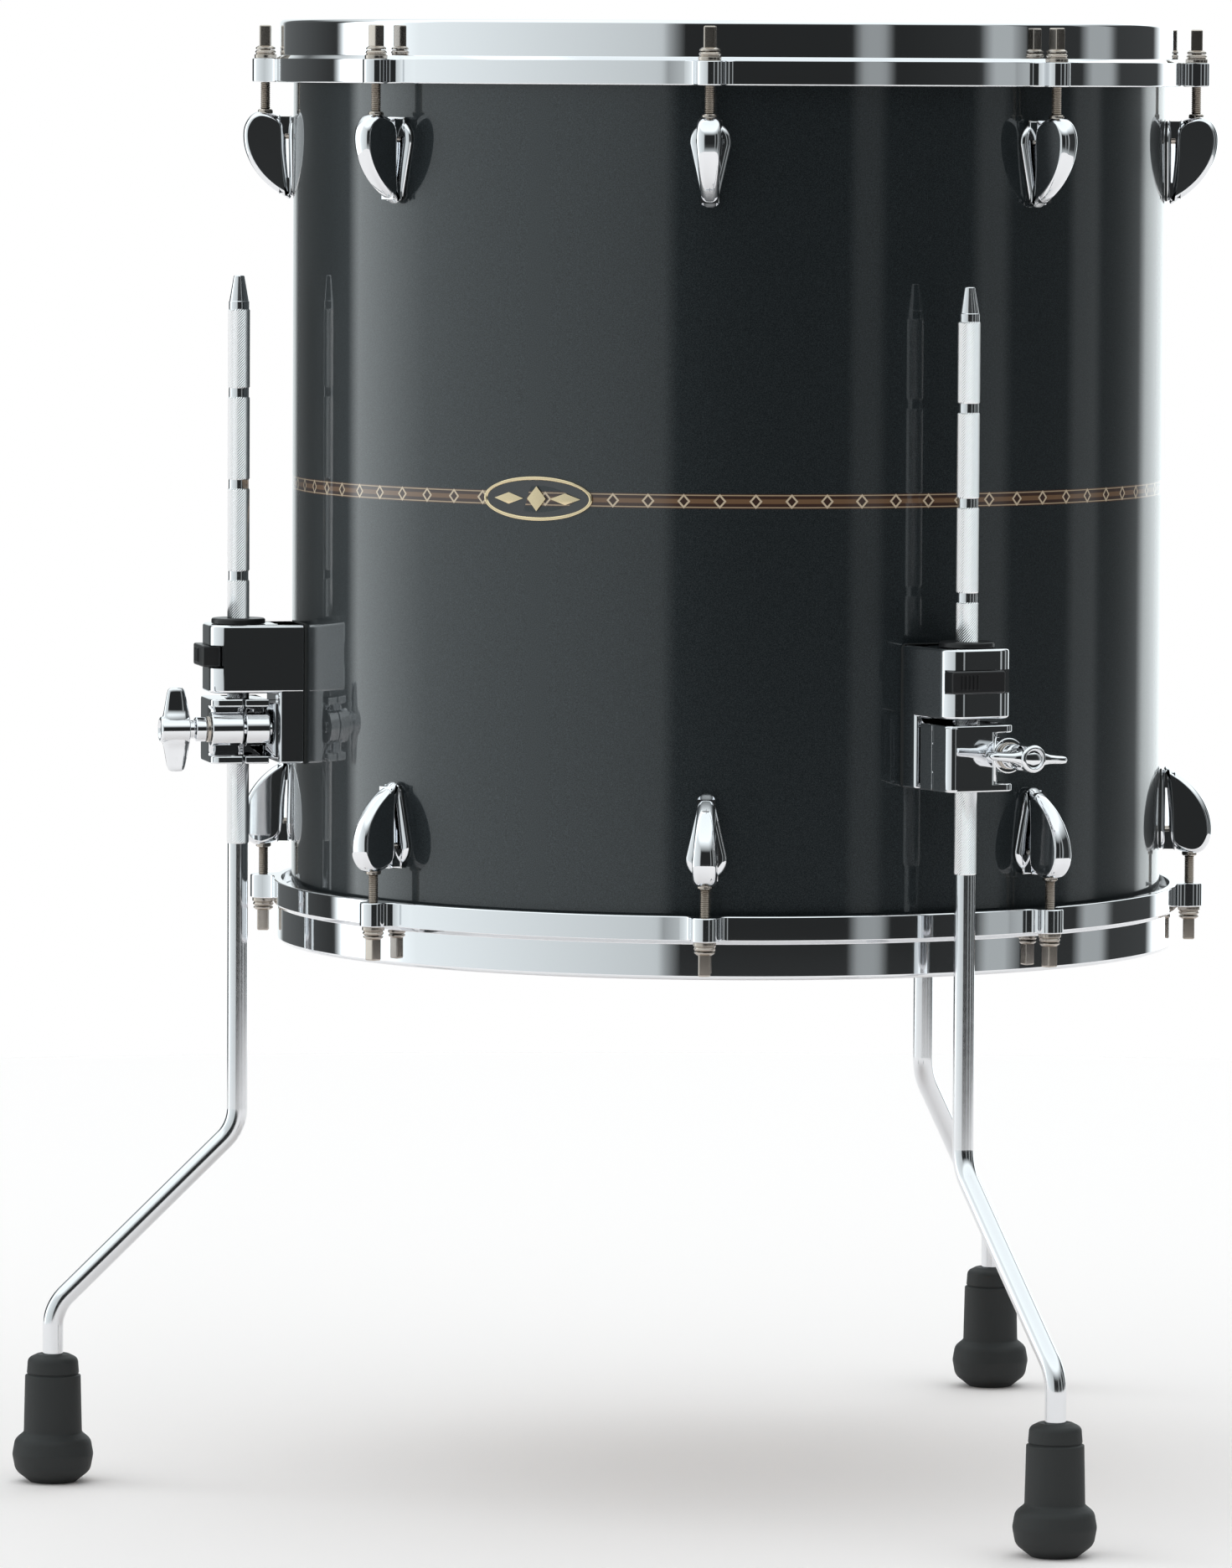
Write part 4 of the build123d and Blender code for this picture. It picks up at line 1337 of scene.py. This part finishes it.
        slider = Shape().pillow(bar(-17, 10, tall, 1.2), near, far - 0.5, 0.9).moved(OUTWARD)
        for rib in range(5):
            across = -12.0 + rib * 2.0
            grip = bar(across - 0.45, across + 0.45, 3.2, 0.3, 2)
            slider.add(Shape().pillow(grip, far - 1.2, far, 0.3, 2).moved(OUTWARD))
        self.finish(slider, "lock_button", PLASTIC, "lock", Slot.PLASTIC, "lock_slider")

    def build_wing(self) -> None:
        """Build the washer, and the wing bolt at its turn at rest."""
        start = self.nose + 0.3
        hole, edge, end = 3.05, 6.0, start + 1.6
        section = rounded([(hole, start, 0), (edge, start, 0.4), (edge, end, 0.4), (hole, end, 0)], steps=3)
        spot = shifted(0, self.bolt_offset, self.bolt_height)
        washer = Shape().lathe(section, 36).moved(OUTWARD).moved(spot)
        self.finish(washer, "bolt_washer", STEEL, "washer", Slot.STEEL, "clamp_washer")
        bolt = self.bolt_stem().add(self.wings()).moved(turned(self.side.wing_turn))
        self.finish(bolt.moved(OUTWARD).moved(spot), "wing", CHROME, "wing", Slot.CHROME, "wing_bolt")

    def bolt_stem(self) -> Shape:
        """Turn the wing bolt's thread, its waisted neck and its hub, along the outward z."""
        leg, end = self.leg_reach, self.leg_reach + self.wing_high
        stem = [
            (0, leg - 13.5, 0), (3.0, leg - 13.5, 0.5), (3.0, leg + 17.5, 0), (5.7, leg + 17.5, 0.6),
            (5.7, leg + 22.2, 0.8), (4.3, leg + 23.2, 0.5), (4.3, leg + 25.0, 0), (6.2, leg + 25.4, 0.5),
            (6.2, end, 1.4), (4.5, end, 0.3), (3.9, end - 1.0, 0.3), (0, end - 1.0, 0),
        ]
        return Shape().lathe(rounded(stem, steps=4), 36)

    def wings(self) -> Shape:
        """Loft the bolt's two wings through soft-cornered sections, from tip to tip."""
        halves = [
            (0.0, 4.9, 24.6, 38.6), (4.6, 4.3, 24.8, 38.2), (7.0, 3.1, 25.2, 37.4), (9.5, 2.4, 25.6, 36.9),
            (13.0, 2.1, 26.3, 36.3), (16.5, 2.0, 27.0, 35.7), (18.4, 1.7, 27.6, 35.1),
            (19.2, 1.1, 28.5, 34.2), (19.5, 0.3, 30.0, 32.8),
        ]
        turns = [TURN * step / 20 for step in range(20)]
        rings = []
        for along, thick, near, far in [(-a, t, n, f) for a, t, n, f in reversed(halves[1:])] + halves:
            middle, half = (near + far) / 2, (far - near) / 2
            row = []
            for c, s in ((cos(turn), sin(turn)) for turn in turns):
                across = thick * abs(c) ** 0.75 * (1 if c > 0 else -1)
                out = middle + half * abs(s) ** 0.6 * (1 if s > 0 else -1)
                row.append((along, across, self.leg_reach + out))
            rings.append(row)
        return Shape().loft(rings)


# ---------------------------------------------------------------- legs


@dataclass
class Leg:
    """One bent leg with its knurled sleeves, turned tip and rubber foot."""

    axis: DrumAxis
    side: Side
    sleeves: KnurlSleeve
    reach: float = LEG_REACH
    foot_reach: float = 318.0
    radius: float = 4.75
    core: float = 4.7
    knurl_low: float = 296.0
    knurl_high: float = 543.5
    high: float = 559.0
    upper_bend: float = 164.0
    lower_bend: float = 81.0
    bend: float = 20.0
    socket: float = 9.0
    grooves: tuple[float, ...] = (335.6, 377.95, 420.3, 462.65, 505.0)
    groove_height: float = 4.0
    knurl_root: float = 4.82
    knurl_depth: float = 0.28
    knurl_core: float = 4.69
    columns: int = 52
    pitch: float = 0.62

    def build(self) -> None:
        """Build the rod, its knurled sleeves and the foot."""
        body = f"leg_and_foot_{self.side.label}"
        rod = self.rod().object(f"leg_rod_{self.side.label}", [LEG_CHROME])
        enter(settle(rod), body, Slot.LEG_CHROME, f"leg_{self.side.label}")
        enter(self.knurling(), body, Slot.LEG_CHROME)
        foot = self.foot().object(f"foot_rubber_{self.side.label}", [RUBBER])
        enter(settle(foot), body, Slot.RUBBER, f"leg_foot_{self.side.label}")

    def rod(self) -> Shape:
        """Draw the bent rod as a tube along its path, with the turned tip."""
        corners = [
            (self.reach, self.knurl_low, 0), (self.reach, self.upper_bend, self.bend),
            (self.foot_reach, self.lower_bend, self.bend), (self.foot_reach, self.socket, 0),
        ]
        path = rounded(corners, False, 14)
        rings = []
        for index, (x, z) in enumerate(path):
            ahead = Vector(path[min(index + 1, len(path) - 1)]) - Vector(path[max(index - 1, 0)])
            ahead.normalize()
            ring = []
            for n in range(28):
                turn = TURN * n / 28
                aside = self.radius * cos(turn)
                ring.append((x - ahead.y * aside, self.radius * sin(turn), z + ahead.x * aside))
            rings.append(ring)
        rod = Shape().loft(rings)
        tip = self.high - 12
        profile = [
            (0, self.knurl_low - 0.5, 0), (self.core, self.knurl_low - 0.5, 0), (self.core, self.knurl_high, 0),
            (self.radius, self.knurl_high, 0.1), (self.radius, tip, 0.2), (4.5, tip + 0.2, 0.2),
            (2.45, self.high, 0.6), (0, self.high, 0),
        ]
        rod.add(Shape().lathe(rounded(profile, steps=3), 40).moved(shifted(self.reach)))
        return rod.moved(self.axis.station(self.side.bearing))

    def knurling(self) -> bpy.types.Object:
        """Run the sleeve's tree for each length between two grooves, and join the lengths."""
        edges = [self.knurl_low]
        for height in self.grooves:
            edges += [height - self.groove_height / 2, height + self.groove_height / 2]
        edges.append(self.knurl_high)
        joined = bmesh.new()
        for low, high in zip(edges[::2], edges[1::2]):
            values = {
                "Columns": self.columns,
                "Rows": round((high - low) / self.pitch),
                "Root radius": self.knurl_root * METRE,
                "Depth": self.knurl_depth * METRE,
                "Low": low * METRE,
                "High": high * METRE,
                "Core radius": self.knurl_core * METRE,
                "Finish": KNURL_CHROME.material(),
            }
            length = self.sleeves.run("sleeve", values)
            joined.from_mesh(length.data)
            bpy.data.objects.remove(length)
        mesh = bpy.data.meshes.new(f"leg_knurling_{self.side.label}")
        place = self.axis.nearby(self.reach, self.side.bearing)
        place.translation *= METRE
        bmesh.ops.transform(joined, matrix=place, verts=joined.verts)
        bmesh.ops.recalc_face_normals(joined, faces=joined.faces)
        joined.to_mesh(mesh)
        joined.free()
        mesh.materials.append(KNURL_CHROME.material())
        return linked(mesh.name, mesh)

    def foot(self) -> Shape:
        """Turn the rubber foot: a neck with a groove, over a swollen ring."""
        corners = [
            (self.radius, self.socket, 0), (0, self.socket, 0), (0, 0, 0), (10.5, 0, 0.6),
            (17.4, 5.4, 6.0), (18.8, 13.0, 5.0), (17.6, 19.8, 5.0), (13.5, 23.2, 1.5),
            (12.9, 49.6, 0.5), (11.6, 50.25, 0.2), (12.1, 50.9, 0.5), (11.6, 57.6, 3.0),
            (7.5, 59.6, 0.8), (self.radius, 59.2, 0),
        ]
        foot = Shape().lathe(rounded(corners, steps=5), 56)
        return foot.moved(self.axis.nearby(self.foot_reach, self.side.bearing))


# ---------------------------------------------------------------- hidden fittings


@dataclass(frozen=True)
class KeptFittings:
    """CAD nodes that stay as they are under a better finish, because little of them shows."""

    nodes: tuple[tuple[str, Finish], ...] = (
        ("reinforcement_rings", MAPLE),
        ("batter_flesh_hoop", ALUMINIUM),
        ("resonant_flesh_hoop", ALUMINIUM),
        ("lug_gaskets", RUBBER),
        ("lug_screws", STEEL),
        ("swivel_nuts", STEEL),
        ("bracket_gaskets", RUBBER),
        ("bracket_screws", STEEL),
        ("jaw_pins", STEEL),
    )

    def dress(self, frame: dict[str, dict[str, bpy.types.Object]]) -> None:
        """Give each kept node its finish."""
        for name, finish in self.nodes:
            mesh = frame["nodes"][name].data
            mesh.materials.clear()
            mesh.materials.append(finish.material())
            LOG.info("%s kept as %s", name, finish.name)


# ---------------------------------------------------------------- studio


@dataclass
class Studio:
    """Camera, surroundings and floor."""

    axis: DrumAxis
    bearing: float = 24.87
    distance: float = 4669.2
    height: float = 660.0
    aim_right: float = -51.35
    aim_height: float = 320.84
    roll: float = 0.3
    lens: float = 229.48
    sensor_width: float = 36.0
    clip_end: float = 100.0
    light: float = 1.15
    tint: tuple[float, float, float] = (0.92, 0.985, 1.0)
    floor_radius: float = 1.9
    floor_colour: tuple[float, float, float] = (1.0, 0.935, 0.92)

    def build(self) -> None:
        """Set up the camera, the surroundings and the floor."""
        self.build_camera()
        self.build_surroundings()
        self.build_floor()

    def build_camera(self) -> None:
        """Aim the camera at the drum from its bearing."""
        place = self.axis.station(self.bearing)
        eye = place @ Vector((self.distance, 0, self.height))
        aim = place @ Vector((0, self.aim_right, self.aim_height))
        ahead = (aim - eye).normalized()
        right = ahead.cross(Vector((0, 0, 1))).normalized()
        up = right.cross(ahead)
        tilt = radians(self.roll)
        across = right * cos(tilt) + up * sin(tilt)
        upward = up * cos(tilt) - right * sin(tilt)
        camera = linked("camera", bpy.data.cameras.new("camera"))
        camera.data.lens = self.lens
        camera.data.sensor_width = self.sensor_width
        camera.data.clip_end = self.clip_end
        matrix = Matrix((across, upward, -ahead)).transposed().to_4x4()
        matrix.translation = eye * METRE
        camera.matrix_world = matrix
        bpy.context.scene.camera = camera

    def build_surroundings(self) -> None:
        """Surround the drum with white panels and dark gaps, and show the camera plain white."""
        world = bpy.data.worlds.new("studio")
        bpy.context.scene.world = world
        bpy.context.scene.view_settings.view_transform = "Standard"
        world.use_nodes = True
        world.node_tree.nodes.clear()
        sheet = NodeBench(world.node_tree)
        split = sheet.add("ShaderNodeSeparateXYZ")
        sheet.join(sheet.add("ShaderNodeTexCoord").outputs["Generated"], split.inputs[0])
        x, y, z = split.outputs
        facing = radians(self.bearing - 90)
        offset = sheet.math("SUBTRACT", sheet.math("ARCTAN2", y, x), facing)
        share = sheet.math("FRACT", sheet.math("ADD", sheet.math("DIVIDE", offset, TURN), 0.5))
        panels = self.greys(sheet, share, self.panels())
        level = sheet.math("MULTIPLY_ADD", z, 0.5, 0.5)
        ceiling = self.greys(sheet, level, self.ceiling())
        strength = sheet.math("MULTIPLY", sheet.math("MAXIMUM", panels, ceiling), self.light)
        surroundings = sheet.add("ShaderNodeBackground", Color=(*self.tint, 1))
        sheet.join(strength, surroundings.inputs["Strength"])
        backdrop = sheet.add("ShaderNodeBackground", Color=(1, 1, 1, 1))
        blend = sheet.add("ShaderNodeMixShader")
        sheet.join(sheet.add("ShaderNodeLightPath").outputs["Is Camera Ray"], blend.inputs[0])
        sheet.join(surroundings.outputs[0], blend.inputs[1])
        sheet.join(backdrop.outputs[0], blend.inputs[2])
        sheet.join(blend.outputs[0], sheet.add("ShaderNodeOutputWorld").inputs[0])

    def greys(
        self, sheet: NodeBench, factor: bpy.types.NodeSocket, stops: Sequence[tuple[float, float]]
    ) -> bpy.types.NodeSocket:
        """Return a grey ramp over stops of place and brightness."""
        return sheet.ramp(factor, [(place, (grey, grey, grey)) for place, grey in stops])

    def ceiling(self) -> list[tuple[float, float]]:
        """Return the brightness from below to above as stops: a share of the height, and a brightness."""
        return [(0.0, 0.6), (0.3, 0.6), (0.4, 0.05), (0.5, 0.0), (0.66, 0.0), (0.74, 0.5), (0.82, 1.1), (1.0, 1.0)]

    def panels(self) -> list[tuple[float, float]]:
        """Return the panels round the drum as stops: a share of a turn, left to right, and a brightness."""
        stops = [
            (-180, 0.9), (-166, 0.8), (-160, 0.12), (-119, 0.03), (-114, 1.9), (-103, 1.5), (-86, 0.86),
            (-45, 0.68), (-17, 0.56), (-13, 0.02), (31, 0.02), (34, 0.3), (39, 0.3), (42, 0.02),
            (66, 0.03), (70, 0.4), (76, 0.4), (80, 0.03), (100, 0.03), (104, 0.35), (112, 0.35),
            (116, 0.04), (138, 0.05), (144, 1.3), (165, 1.4), (180, 0.9),
        ]
        return [(angle / 360 + 0.5, grey) for angle, grey in stops]

    def build_floor(self) -> None:
        """Lay a plain pale floor, small enough that upright chrome mirrors the panels and not the floor."""
        mesh = bpy.data.meshes.new("floor")
        rim = [(x, y, 0) for x, y in circle(self.floor_radius, count=128)]
        mesh.from_pydata(rim, [], [tuple(range(len(rim)))])
        finish = Finish("floor white", self.floor_colour, roughness=0.8, specular=0.1)
        mesh.materials.append(finish.material())
        linked("floor", mesh)


def main() -> None:
    """Build the tom round its frame, in order, and report each piece."""
    logging.basicConfig(level=logging.INFO, format="%(name)s: %(message)s")
    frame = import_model()
    low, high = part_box("shell")
    axis = DrumAxis((low.y + high.y) / 2 / METRE)
    copies, sleeves = RingOfCopies(), KnurlSleeve()
    ShellAssembly(axis).build()
    for end in End:
        EndAssembly(axis, end, copies).build()
    for side in Side:
        LegMount(axis, side).build()
        Leg(axis, side, sleeves).build()
    KeptFittings().dress(frame)
    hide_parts("tension_rod_washers")
    Studio(axis).build()


if __name__ == "__main__":
    main()
